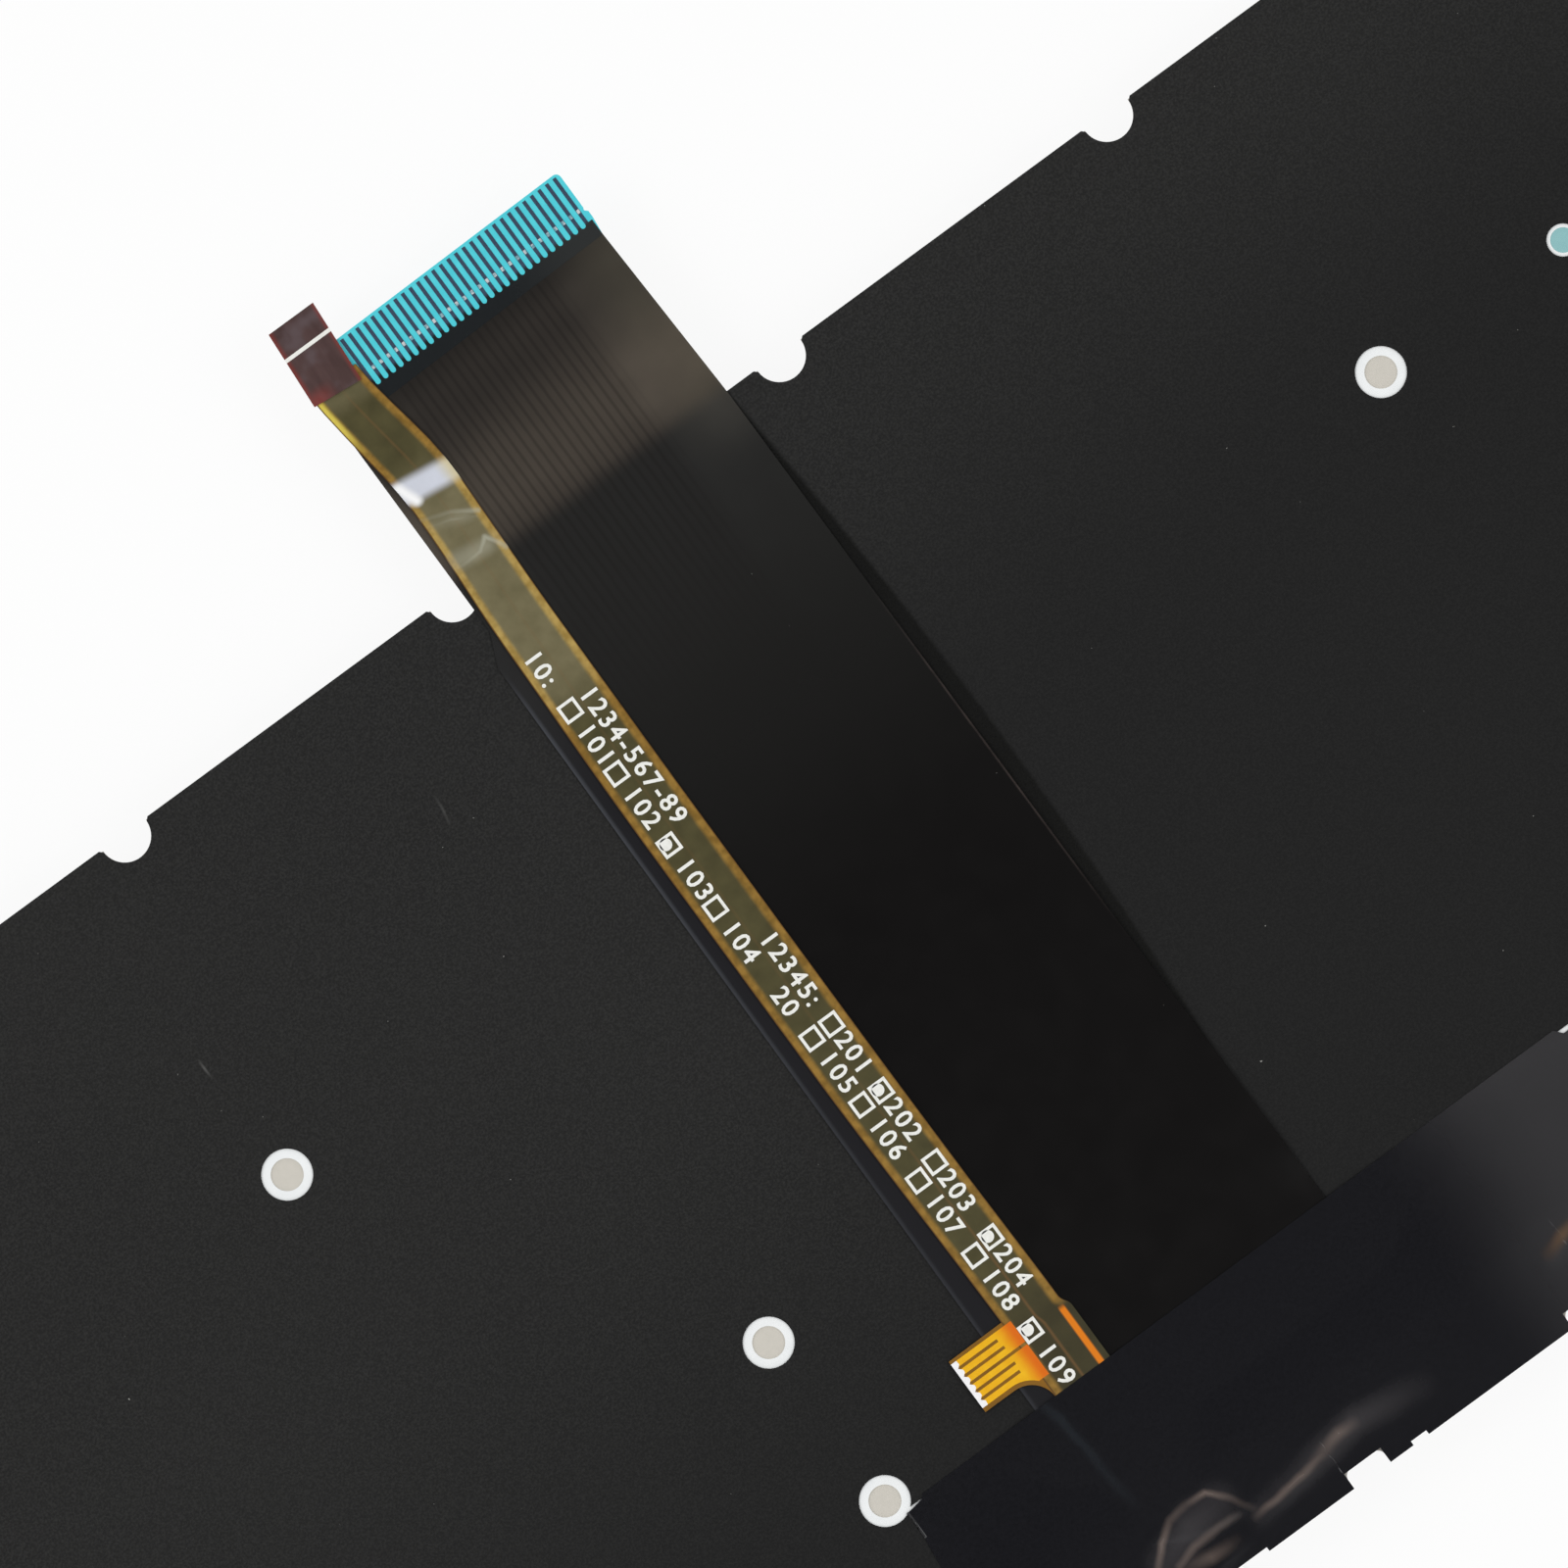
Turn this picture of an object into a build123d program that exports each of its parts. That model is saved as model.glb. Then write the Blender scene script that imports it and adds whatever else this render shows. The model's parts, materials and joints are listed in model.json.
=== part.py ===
from build123d import *
from collections import namedtuple
import math
import os

# Laptop keyboard module in millimetres. It lies on its key tops (z = 0) with its back up.
# X runs along the rows, +Y points to the cable edge, which is the space bar's edge.

# Film outline, which is the outline of the whole module
film_length = 285.0
film_depth = 106.1
film_corner = 2.0
plate_setback = 0.15
layer_inset = 2.8

# Thickness of each layer, from the keys up to the back
cap_height = 2.0
key_travel = 1.5
travel_clearance = 0.2
membrane_thickness = 0.25
plate_thickness = 0.4
guide_thickness = 0.3
reflector_thickness = 0.1
film_thickness = 0.1
tail_thickness = 0.15
circuit_thickness = 0.12
stiffener_thickness = 0.15
tape_thickness = 0.06

# Key grid: one letter key is one unit wide
key_pitch = 18.8
row_pitch = 18.4
function_row_pitch = 11.6
key_gap = 2.8
half_key_gap = 0.8
function_key_count = 14
letter_units = 1.0
tab_units = 1.5
caps_lock_units = 1.75
enter_units = 2.25
left_shift_units = 2.25
right_shift_units = 2.75
backspace_units = 2.0
control_units = 1.25
space_units = 5.5

# Keycap: a hollow cap with drafted sides and cut corners
cap_top = 0.7
cap_wall = 0.9
cap_corner = 1.0
cap_draft = 8.0

# Scissor links and rubber dome under each cap
link_length = 10.4
link_half_width = 5.6
link_bar = 0.9
link_thickness = 0.6
link_clearance = 0.3
long_key_units = 4.0
dome_radius = 2.2
dome_sides = 6
dome_draft = 13.0

# Half-round notches in the cable edge
notch_count = 8
notch_pitch = 34.3
notch_radius = 2.25
notch_inset = 0.2
notch_lip = 0.3

# Square clip notches and shallow nicks in the far edge
clip_notch_count = 2
clip_notch_start = 1.6
clip_notch_pitch = 22.9
clip_notch_width = 3.8
clip_notch_depth = 1.5
clip_notch_round = 0.7
nick_depth = 0.4
short_nick_x = 6.7
short_nick_width = 1.6
long_nick_x = -11.2
long_nick_width = 4.0

# Round holes in the back: each is wide in the film and narrow in the reflector under it
pair_hole_x = 57.3
pair_hole_from_edge = 31.4
column_hole_x = -32.9
column_hole_before_window = 1.65
column_hole_pitch = 16.6
film_hole_radius = 2.2
reflector_hole_radius = 1.4
small_hole_x = 76.3
small_hole_from_edge = 31.5
small_film_hole_radius = 1.4
small_reflector_hole_radius = 1.08

# Window in the film at the far edge, closed by the cover tape
window_left = -31.95
window_right = 38.1
window_depth = 20.95
tape_gap = 0.3
tape_slope = 1.2

# Signal tail: comes up through a slot in the plate and runs past the cable edge
tail_left = -18.2
tail_neck_left = -16.35
tail_right = 12.3
tail_tip_right = 11.2
tail_step_from_edge = 5.7
riser_from_far_edge = 10.6
tail_overhang = 23.3
contact_left = -12.1
contact_length = 5.0
contact_neck = 1.4
slot_clearance = 0.6

# Backlight circuit: a narrow strip along the tail, a side branch and a hidden lamp strip
circuit_left = -16.05
circuit_right = -10.95
circuit_straight_from_edge = 8.0
bend_overhang = 9.6
bend_left = -15.4
bend_right = -10.75
neck_overhang = 19.6
neck_left = -16.7
neck_right = -12.4
foot_right = -10.3
foot_before_window = 5.55
branch_left = -21.6
branch_before_window = 7.95
branch_width = 5.25
branch_fillet = 2.5
lamp_strip_left = -30.0
lamp_strip_right = 36.2
lamp_strip_from_far_edge = 8.1
lamp_strip_width = 4.6

# Stiffener on the tip of the backlight circuit: its sides lean, its far end is square to the tail
tip_length = 7.4
tip_width = 4.65
tip_lean = 3.8
tip_shift = 0.38
tip_inset = 0.2
tip_lap = 0.3

# Side-lit lamps under the lamp strip
lamp_length = 3.0
lamp_depth = 1.2
lamp_pitch = 4.6
lamps_left = 2
lamps_right = 5
lamp_end_margin = 1.0
lamp_guide_gap = 0.3

# Heights of the layers
cap_ceiling = cap_top
membrane_z = cap_height + key_travel + travel_clearance
plate_z = membrane_z + membrane_thickness
guide_z = plate_z + plate_thickness
reflector_z = guide_z + guide_thickness
film_z = reflector_z + reflector_thickness
tail_z = film_z + film_thickness
circuit_z = tail_z + tail_thickness
tape_z = circuit_z + circuit_thickness
edge_y = film_depth / 2

# Distances from the cable edge of what lies at the window and the far edge
window_from_edge = film_depth - window_depth
far_hole_from_edge = window_from_edge - column_hole_before_window
near_hole_from_edge = far_hole_from_edge - column_hole_pitch
branch_from_edge = window_from_edge - branch_before_window
foot_from_edge = window_from_edge - foot_before_window
riser_from_edge = film_depth - riser_from_far_edge
lamp_strip_from_edge = film_depth - lamp_strip_from_far_edge

os.makedirs("parts", exist_ok=True)
Key = namedtuple("Key", "name x y width depth units")
UPWARD = (Align.CENTER, Align.CENTER, Align.MIN)
DOWNWARD = Rot(180, 0, 0)


def save(name, *solids):
    shape = solids[0] if len(solids) == 1 else Compound(children=list(solids))
    export_step(shape, f"parts/{name}.step")


def from_edge(distance):
    """Y of a line that lies this far inside the cable edge."""
    return edge_y - distance


def field(left, right, near, far):
    """Rectangle between two X values and two distances from the cable edge."""
    centre = Pos((left + right) / 2, from_edge((near + far) / 2))
    return centre * Rectangle(right - left, far - near)


def outline(points):
    """Face through corners given as X and distance from the cable edge."""
    return make_face(Polyline(*[(x, from_edge(distance)) for x, distance in points], close=True))


def sheet(sketch, z, thickness):
    return extrude(Pos(0, 0, z) * sketch, thickness)


# Key layout

def key_row(keys, y, pitch):
    """Places a row of named keys, given with their widths in units, from left to right."""
    row_units = sum(units for _, units in keys)
    x = -row_units * key_pitch / 2
    placed = []
    for name, units in keys:
        width = units * key_pitch
        placed.append(Key(name, x + width / 2, y, width - key_gap, pitch - key_gap, units))
        x += width
    return placed


def letters(names):
    return [(name, letter_units) for name in names.split()]


number_keys = letters("grave 1 2 3 4 5 6 7 8 9 0 minus equals") + [("backspace", backspace_units)]
row_units = sum(units for _, units in number_keys)
function_units = row_units / function_key_count
function_keys = [(f"function_{n}", function_units) for n in range(function_key_count)]
upper_keys = [("tab", tab_units)] + letters("q w e r t y u i o p open_bracket close_bracket")
upper_keys += [("backslash", tab_units)]
home_keys = [("caps_lock", caps_lock_units)] + letters("a s d f g h j k l semicolon quote")
home_keys += [("enter", enter_units)]
lower_keys = [("left_shift", left_shift_units)] + letters("z x c v b n m comma period slash")
lower_keys += [("right_shift", right_shift_units)]
bottom_keys = [("control", control_units)] + letters("fn system") + [("alt", control_units)]
bottom_keys += [("space", space_units)] + letters("right_alt right_control left up_down right")

letter_rows = [number_keys, upper_keys, home_keys, lower_keys, bottom_keys]
grid_depth = function_row_pitch + len(letter_rows) * row_pitch
function_y = -grid_depth / 2 + function_row_pitch / 2
first_row_y = -grid_depth / 2 + function_row_pitch + row_pitch / 2
function_row = key_row(function_keys, function_y, function_row_pitch)
number_row, upper_row, home_row, lower_row, bottom_row = [
    key_row(keys, first_row_y + index * row_pitch, row_pitch) for index, keys in enumerate(letter_rows)
]


def half_keys(key):
    """Splits a key into the up and down arrow keys, one behind the other."""
    depth = (key.depth - half_key_gap) / 2
    offset = (depth + half_key_gap) / 2
    up = key._replace(name="up", y=key.y - offset, depth=depth)
    return [up, key._replace(name="down", y=key.y + offset, depth=depth)]


arrow_names = ["left", "right"]
arrow_keys = [key for key in bottom_row if key.name in arrow_names]
arrow_keys += [half for key in bottom_row if key.name == "up_down" for half in half_keys(key)]
space_keys = [key for key in bottom_row if key.name == "space"]
plain_names = ["control", "fn", "system", "alt", "right_alt", "right_control"]
modifier_row = [key for key in bottom_row if key.name in plain_names]
moving_keys = upper_row + home_row + lower_row + space_keys + arrow_keys
all_keys = function_row + number_row + modifier_row + moving_keys


# Keycaps, scissor links and domes

def keycap(key):
    skirt = chamfer(Rectangle(key.width, key.depth).vertices(), cap_corner)
    body = Pos(0, 0, cap_height) * DOWNWARD * extrude(skirt, cap_height, taper=cap_draft)
    inside = Rectangle(key.width - 2 * cap_wall, key.depth - 2 * cap_wall)
    hollow = extrude(Pos(0, 0, cap_ceiling) * inside, cap_height - cap_ceiling)
    return Pos(key.x, key.y, 0) * (body - hollow)


def room_along(key):
    """Length that a link can have inside the cap."""
    return min(link_length, key.depth - 2 * cap_wall - 2 * link_clearance)


def link(length, half_width, side):
    """U-shaped link, tilted across the space between the cap and the membrane."""
    opening = Pos(0, side * link_bar) * Rectangle(2 * (half_width - link_bar), length)
    shape = Rectangle(2 * half_width, length) - opening
    rise = membrane_z - cap_ceiling - link_thickness - 2 * link_clearance
    tilt = math.degrees(math.asin(rise / length))
    flat = extrude(shape, link_thickness / 2, both=True)
    return Pos(0, 0, (cap_ceiling + membrane_z) / 2) * Rot(side * tilt, 0, 0) * flat


def scissor(key, offset):
    """Outer link and the narrower inner link that crosses it."""
    length = room_along(key)
    inner_half_width = link_half_width - link_bar - link_clearance
    place = Pos(key.x + offset, key.y, 0)
    return [place * link(length, link_half_width, 1), place * link(length, inner_half_width, -1)]


def scissors(key):
    """One pair of links at the middle, or two pairs on a long key."""
    if key.units < long_key_units:
        return scissor(key, 0)
    return scissor(key, -key.width / 4) + scissor(key, key.width / 4)


def dome(key):
    radius = min(dome_radius, room_along(key) / 2 - link_bar - link_clearance)
    base = RegularPolygon(radius, dome_sides)
    body = extrude(base, membrane_z - cap_ceiling, taper=dome_draft)
    return Pos(key.x, key.y, membrane_z) * DOWNWARD * body


# Cut-outs shared by the plate and the film

def cable_edge_notches():
    cutters = Sketch()
    for index in range(notch_count):
        x = (index - (notch_count - 1) / 2) * notch_pitch
        cutters += Pos(x, from_edge(notch_inset)) * Circle(notch_radius)
    return cutters


def clip_notches(corner_round):
    cutters = Sketch()
    for index in range(clip_notch_count):
        x = clip_notch_start + index * clip_notch_pitch
        notch = far_edge_cut(x, clip_notch_width, clip_notch_depth)
        if corner_round:
            notch = fillet(notch.vertices().group_by(Axis.Y)[-1], corner_round)
        cutters += notch
    return cutters


def far_edge_cut(x, width, depth):
    """Rectangle that cuts this deep into the far edge and stands past it by as much."""
    return field(x - width / 2, x + width / 2, film_depth - depth, film_depth + depth)


def nicks():
    short_nick = far_edge_cut(short_nick_x, short_nick_width, nick_depth)
    return short_nick + far_edge_cut(long_nick_x, long_nick_width, nick_depth)


def holes(wide_radius, narrow_radius):
    """Round holes in the back: four wide ones and a small one."""
    places = [(-pair_hole_x, pair_hole_from_edge), (pair_hole_x, pair_hole_from_edge)]
    places += [(column_hole_x, near_hole_from_edge), (column_hole_x, far_hole_from_edge)]
    cutters = Pos(small_hole_x, from_edge(small_hole_from_edge)) * Circle(narrow_radius)
    for x, distance in places:
        cutters += Pos(x, from_edge(distance)) * Circle(wide_radius)
    return cutters


# Sheets, from the membrane up to the back film

def inner_rectangle():
    return Rectangle(film_length - 2 * layer_inset, film_depth - 2 * layer_inset)


def tail_slot():
    return field(
        tail_left - slot_clearance,
        tail_right + slot_clearance,
        riser_from_edge - slot_clearance,
        riser_from_edge + tail_thickness + slot_clearance,
    )


def lamp_bay():
    """Room for the lamps and for the tail's riser at the far edge of the light guide."""
    bay = field(
        lamp_strip_left,
        lamp_strip_right,
        lamp_strip_from_edge - lamp_guide_gap,
        film_depth,
    )
    passage = field(
        tail_left - slot_clearance,
        tail_right + slot_clearance,
        riser_from_edge - slot_clearance,
        film_depth,
    )
    return bay + passage


def base_plate():
    plate = RectangleRounded(
        film_length - 2 * plate_setback,
        film_depth - 2 * plate_setback,
        film_corner,
    )
    plate -= cable_edge_notches() + clip_notches(clip_notch_round) + nicks()
    return sheet(plate - tail_slot(), plate_z, plate_thickness)


def light_guide():
    return sheet(inner_rectangle() - lamp_bay(), guide_z, guide_thickness)


def reflector_film():
    cutters = lamp_bay() + holes(reflector_hole_radius, small_reflector_hole_radius)
    return sheet(inner_rectangle() - cutters, reflector_z, reflector_thickness)


def back_film():
    film = RectangleRounded(film_length, film_depth, film_corner) - cable_edge_notches()
    straight = film_length / 2 - film_corner - notch_lip
    edge = film.vertices().group_by(Axis.Y)[-1]
    lips = [corner for corner in edge if abs(corner.X) < straight]
    film = chamfer(lips, notch_lip)
    film -= holes(film_hole_radius, small_film_hole_radius)
    film -= field(window_left, window_right, window_from_edge, film_depth + clip_notch_depth)
    return sheet(film, film_z, film_thickness)


def cover_tape():
    """Tape that lies over the lamp strip and slopes down to the reflector at both ends."""
    left = window_left + tape_gap
    right = window_right - tape_gap
    line = [
        (left, film_z),
        (left + tape_slope, tape_z),
        (right - tape_slope, tape_z),
        (right, film_z),
    ]
    upper = [(x, z + tape_thickness) for x, z in reversed(line)]
    section = make_face(Polyline(*[(x, 0, z) for x, z in line + upper], close=True))
    depth = film_depth - window_from_edge - tape_gap
    tape = Pos(0, -edge_y, 0) * extrude(section, depth, dir=(0, 1, 0))
    cutters = sheet(clip_notches(0) + nicks(), film_z, tape_z - film_z + tape_thickness)
    return tape - cutters


# Signal tail and its stiffener

def signal_tail():
    tip = -tail_overhang
    neck = tip + contact_length + contact_neck
    flat = outline([
        (tail_left, riser_from_edge + tail_thickness),
        (tail_left, tail_step_from_edge),
        (tail_neck_left, tail_step_from_edge),
        (tail_neck_left, neck),
        (contact_left, neck),
        (contact_left, tip),
        (tail_tip_right, tip),
        (tail_right, window_from_edge),
        (tail_right, riser_from_edge + tail_thickness),
    ])
    riser = field(tail_left, tail_right, riser_from_edge, riser_from_edge + tail_thickness)
    return sheet(flat, tail_z, tail_thickness) + sheet(riser, plate_z, tail_z - plate_z)


def contact_stiffener():
    tip = -tail_overhang
    shape = field(contact_left, tail_tip_right, tip, tip + contact_length)
    return sheet(shape, tail_z - stiffener_thickness, stiffener_thickness)


# Backlight circuit, its stiffener and its lamps

def tip_shape(inset):
    """Leaning plate at the end of the backlight circuit, smaller by an inset at its sides and far end."""
    near = tip_lap - neck_overhang
    far = near - tip_length + inset
    drift = (near - far) * math.tan(math.radians(tip_lean))
    left = neck_left - tip_shift + inset
    right = left + tip_width - 2 * inset
    return outline([(left, near), (right, near), (right + drift, far), (left + drift, far)])


def backlight_circuit():
    run = outline([
        (circuit_left, lamp_strip_from_edge),
        (circuit_left, circuit_straight_from_edge),
        (bend_left, -bend_overhang),
        (neck_left, -neck_overhang),
        (neck_right, -neck_overhang),
        (bend_right, -bend_overhang),
        (circuit_right, circuit_straight_from_edge),
        (circuit_right, foot_from_edge),
        (foot_right, foot_from_edge + foot_right - circuit_right),
        (foot_right, lamp_strip_from_edge),
    ])
    branch_end = branch_from_edge + branch_width
    branch = field(branch_left, circuit_left, branch_from_edge, branch_end)
    web = field(circuit_left - branch_fillet, circuit_left, branch_end, branch_end + branch_fillet)
    corner = Pos(circuit_left - branch_fillet, from_edge(branch_end + branch_fillet))
    web -= corner * Circle(branch_fillet)
    lamp_strip_end = lamp_strip_from_edge + lamp_strip_width
    strip = field(lamp_strip_left, lamp_strip_right, lamp_strip_from_edge, lamp_strip_end)
    return sheet(run + branch + web + strip + tip_shape(tip_inset), circuit_z, circuit_thickness)


def backlight_stiffener():
    return sheet(tip_shape(0), circuit_z + circuit_thickness, stiffener_thickness)


def lamps():
    """Two groups of lamps on the plate, on both sides of the tail."""
    first = lamp_strip_left + lamp_end_margin + lamp_length / 2
    last = lamp_strip_right - lamp_end_margin - lamp_length / 2
    places = [first + index * lamp_pitch for index in range(lamps_left)]
    places += [last - index * lamp_pitch for index in range(lamps_right)]
    y = from_edge(lamp_strip_from_edge + lamp_depth / 2)
    blank = Box(lamp_length, lamp_depth, circuit_z - guide_z, align=UPWARD)
    return [Pos(x, y, guide_z) * blank for x in places]


save("membrane", sheet(inner_rectangle(), membrane_z, membrane_thickness))
save("base_plate", base_plate())
save("light_guide", light_guide())
save("reflector_film", reflector_film())
save("back_film", back_film())
save("cover_tape", cover_tape())
save("signal_tail", signal_tail())
save("contact_stiffener", contact_stiffener())
save("backlight_circuit", backlight_circuit())
save("backlight_stiffener", backlight_stiffener())
save("backlight_lamps", *lamps())
save("rubber_domes", *[dome(key) for key in all_keys])
save("scissor_links", *[part for key in moving_keys for part in scissors(key)])
save("function_keys", *[keycap(key) for key in function_row])
save("number_keys", *[keycap(key) for key in number_row])
save("modifier_keys", *[keycap(key) for key in modifier_row])
for key in moving_keys:
    save(f"key_{key.name}", keycap(key))
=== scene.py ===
"""Looks of a laptop keyboard module that lies on its key tops, with its back and its two flat circuits up."""

import json
import math

import bmesh
import bpy
from mathutils import Matrix, Vector


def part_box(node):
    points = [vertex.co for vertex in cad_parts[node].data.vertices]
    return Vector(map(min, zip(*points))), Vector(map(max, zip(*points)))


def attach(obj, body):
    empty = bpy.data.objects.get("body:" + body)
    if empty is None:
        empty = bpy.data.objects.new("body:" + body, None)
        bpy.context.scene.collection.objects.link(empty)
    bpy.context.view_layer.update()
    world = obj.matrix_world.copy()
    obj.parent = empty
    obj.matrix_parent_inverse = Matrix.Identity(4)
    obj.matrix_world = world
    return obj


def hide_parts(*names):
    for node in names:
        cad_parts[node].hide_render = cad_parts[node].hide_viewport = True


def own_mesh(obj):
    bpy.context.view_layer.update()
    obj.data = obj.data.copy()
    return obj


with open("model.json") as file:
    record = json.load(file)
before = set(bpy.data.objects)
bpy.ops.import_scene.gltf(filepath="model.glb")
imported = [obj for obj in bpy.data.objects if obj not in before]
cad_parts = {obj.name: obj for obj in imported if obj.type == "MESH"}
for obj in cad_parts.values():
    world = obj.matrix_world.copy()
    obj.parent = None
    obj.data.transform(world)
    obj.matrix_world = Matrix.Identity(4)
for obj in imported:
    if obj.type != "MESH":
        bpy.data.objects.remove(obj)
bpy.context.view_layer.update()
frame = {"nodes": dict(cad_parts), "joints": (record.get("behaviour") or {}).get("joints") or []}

# Millimetres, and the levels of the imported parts
MM = 0.001
ROOT = "module"


def low_of(node):
    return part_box(node)[0] / MM


def high_of(node):
    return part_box(node)[1] / MM


cable_edge_y = high_of("back_film").y
film_depth = cable_edge_y - low_of("back_film").y
film_top = high_of("back_film").z
tail_low = low_of("contact_stiffener").z
tail_top = high_of("signal_tail").z
circuit_top = high_of("backlight_circuit").z
stiffener_top = high_of("backlight_stiffener").z
membrane_low = low_of("membrane").z

# Thickness of the thin layers that are made here
tail_thickness = 0.15
cover_thickness = 0.02
circuit_thickness = 0.12
tape_thickness = 0.04
tape_clearance = 0.01
print_thickness = 0.012
gold_thickness = 0.008
teal_thickness = 0.07

# Signal tail: X of its borders and distances from the cable edge, negative past the edge
tail_left = -18.2
tail_left_line = [(4.5, -16.35), (7.5, -17.65), (30.0, -17.8), (75.0, -18.1), (95.0, -18.2)]
tail_right = 12.3
tail_right_line = [(-17.2, 11.2), (0.0, 11.8), (55.0, 11.95), (85.0, 12.3), (95.0, 12.3)]
tail_spans = [(-17.2, 4.5, 1.0), (5.0, 8.0, 0.5), (9.0, 95.0, 1.2)]
track_left = -10.8
track_right = 6.4
tail_rows = 30
edge_lift = 0.16
edge_lift_width = 5.0
edge_lift_rise = (4.0, 60.0)
edge_lift_fall = (78.0, 84.0)

# Contact end of the tail: 29 dark stripes on a cyan bed
stripe_count = 29
first_stripe = -11.86
last_stripe = 10.65
stripe_pitch = (last_stripe - first_stripe) / (stripe_count - 1)
stripe_width = 0.33
stripe_start = -22.95
stripe_root = -18.25
stripe_fade = 0.5
comb_end = -16.7
comb_left = -12.5
comb_right = 11.2
bed_margin = 0.25
bed_corner = 0.5
ear_right = 11.38
ear_ends = (-19.0, -18.4)
ear_notch = (11.25, -19.3)
ear_notch_radius = 0.13
ear_notch_near = -19.5
mark_from_edge = -19.45
mark_half_width = 0.13
mark_near = 0.2
mark_far = 0.16
contact_skew = 0.0155

# Backlight circuit: borders as pairs of distance from the cable edge and X
circuit_spans = [(-20.4, 2.0, 0.2), (2.6, 77.6, 1.2), (78.0, 80.0, 0.1), (80.6, 98.0, 0.8)]
circuit_left_line = [(-20.4, -17.0), (-14.0, -16.28), (-9.4, -15.58), (-5.0, -15.6), (4.0, -16.05)]
circuit_neck_line = [(-20.4, -12.2), (-16.0, -11.6), (-12.0, -10.83), (-9.5, -10.58), (4.0, -10.95)]
circuit_foot_line = [(66.0, -10.95), (76.0, -10.83), (78.4, -10.83), (79.2, -10.33), (98.0, -10.33)]
circuit_right_line = circuit_neck_line + circuit_foot_line
circuit_rows = 24
neck_rounding = 2.0
foot_rounding = 0.2
foot_start = 60.0
circuit_bow_rise = (-2.0, 28.0)
circuit_bow_fall = (80.0, 50.0)
circuit_bow_left = 0.42
circuit_bow_right = 0.17
bend_start = -10.6
bend_end = -7.7
bend_rise = 0.13
tip_rise = (-19.0, -11.5)

# Creases of the circuit at the cable edge: a slanted one and a wavy one
slant_middle = (-13.3, -4.6)
slant_slope = 0.15
slant_width = 0.5
slant_height = 0.04
wave_from_edge = -0.4
wave_sway = 0.3
wave_rate = 1.7
wave_width = 0.45
wave_height = 0.035

# Side branch of the circuit, with its gold fingers
branch_left = -21.6
branch_near = 77.2
branch_far = 82.45
branch_root = -16.05
branch_slant = 0.05
branch_fillet = 2.5
finger_pitch = 0.805
finger_slit = 0.28
finger_root = branch_root + 0.7
finger_near = branch_near + 0.3
finger_inset = 0.1
finger_bend_end = -42.0
slit_ends = [-17.2, -17.05, finger_root, -17.1, -17.2]
tin_length = 0.55
tin_notch = [(0.6, -finger_slit), (0.3, 0.0), (0.6, finger_slit)]
branch_corner = (branch_root - branch_fillet, branch_far + branch_fillet)

# Stiffener on the circuit's tip
tip_left = -16.6
tip_width = 4.63
tip_far = -26.7
tip_near_left = -19.48
tip_near_right = -19.04
tip_lean = 0.067
tip_line = -24.02
tip_line_width = 0.34

# Cover tape over the window at the far edge
tape_left = -32.35
tape_right = 38.5
tape_near = 84.85
tape_rows = 70
tape_step = 0.3
tape_border = 0.2
window_left = -31.95
window_near = 85.15
clip_notch_places = [1.6, 24.5]
clip_notch_half = 1.9
clip_notch_depth = 1.5
nick_places = [(6.7, 0.8), (-11.2, 2.0)]
nick_depth = 0.4
corner_gap = 0.27
corner_gap_end = -30.1
corner_gap_length = 1.5
side_gap = 0.22
side_gap_end = 91.0
near_nick_depth = 0.7
near_nick_rise = (36.3, 36.5)
near_nick_fall = (38.1, 37.8)
cut_step = 0.005
drape_strip_left = (-20.5, -16.0)
drape_strip_right = (-3.0, -10.3)
drape_tail_left = 6.0
drape_tail_right = 9.0
drape_lamps = (86.0, 98.2)
lamps_left = -27.0
lamps_right = 33.0
blister_middle = (-12.6, 100.6)
blister_run = (0.96, 0.28)
blister_half_length = 5.2
blister_half_width = 1.5
blister_height = 0.03
blister_end_fade = (1.0, 0.5)
blister_side_fade = (1.0, 0.3)
blister_least_share = 0.05
tape_folds = [
    ((-9.4, 103.6), (3.4, 101.8), 0.6, 0.03),
    ((-16.5, 105.0), (-9.7, 104.0), 0.7, 0.04),
    ((23.8, 100.3), (29.0, 98.9), 0.7, 0.04),
]
fold_taper = 0.7
ripple_height = 0.008
ripple_start = 1.3
ripple_rates = (0.45, 0.37, 0.11)
tape_headroom = 0.005

# Small hole, whose disc is teal
small_hole_x = 76.3
small_hole_from_edge = 31.5
small_hole_radius = 1.08

# Keycaps, their legends and what carries them
cap_wall = 0.9
cap_ceiling = 0.7
cap_corner = 1.4
cap_corner_least = 0.35
cap_corner_slope = 0.5
corner_steps = 4
cap_skirt = [(0.0, 1.0), (0.05, 0.65), (0.2, 0.2), (0.32, 0.06), (0.55, 0.0)]
cap_dish = 0.13
cap_dish_line = [(1.1, 0.25), (2.4, 0.75), (3.6, 1.0)]
cap_inset_share = 0.8
legend_size = 4.4
word_size = 2.8
legend_share = 0.42
legend_level = 0.05
legend_thickness = 0.1
dome_profile = [(3.0, 0.0), (3.0, 0.06), (2.4, 0.09), (1.8, 0.66), (1.6, 0.76), (1.6, 1.0)]
dome_sides = 20
dome_room = 8.0
support_clearance = 0.6
link_side_clearance = 1.2
link_nesting = 1.3
link_rounding = 0.3
link_length = 10.4
link_half_width = 5.6
link_bar = 0.9
link_thickness = 0.6
support_rise = membrane_low - cap_ceiling

# Edges that bend by more than this stay sharp on rounded pieces
sharp_angle = math.radians(40.0)

# Camera: straight down, turned in the picture
photo_turn = math.radians(-36.27)
photo_centre_x = -3.94
photo_centre_y = 23.43
photo_width = 132.45
camera_height = 1200.0
sensor_width = 36.0

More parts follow.
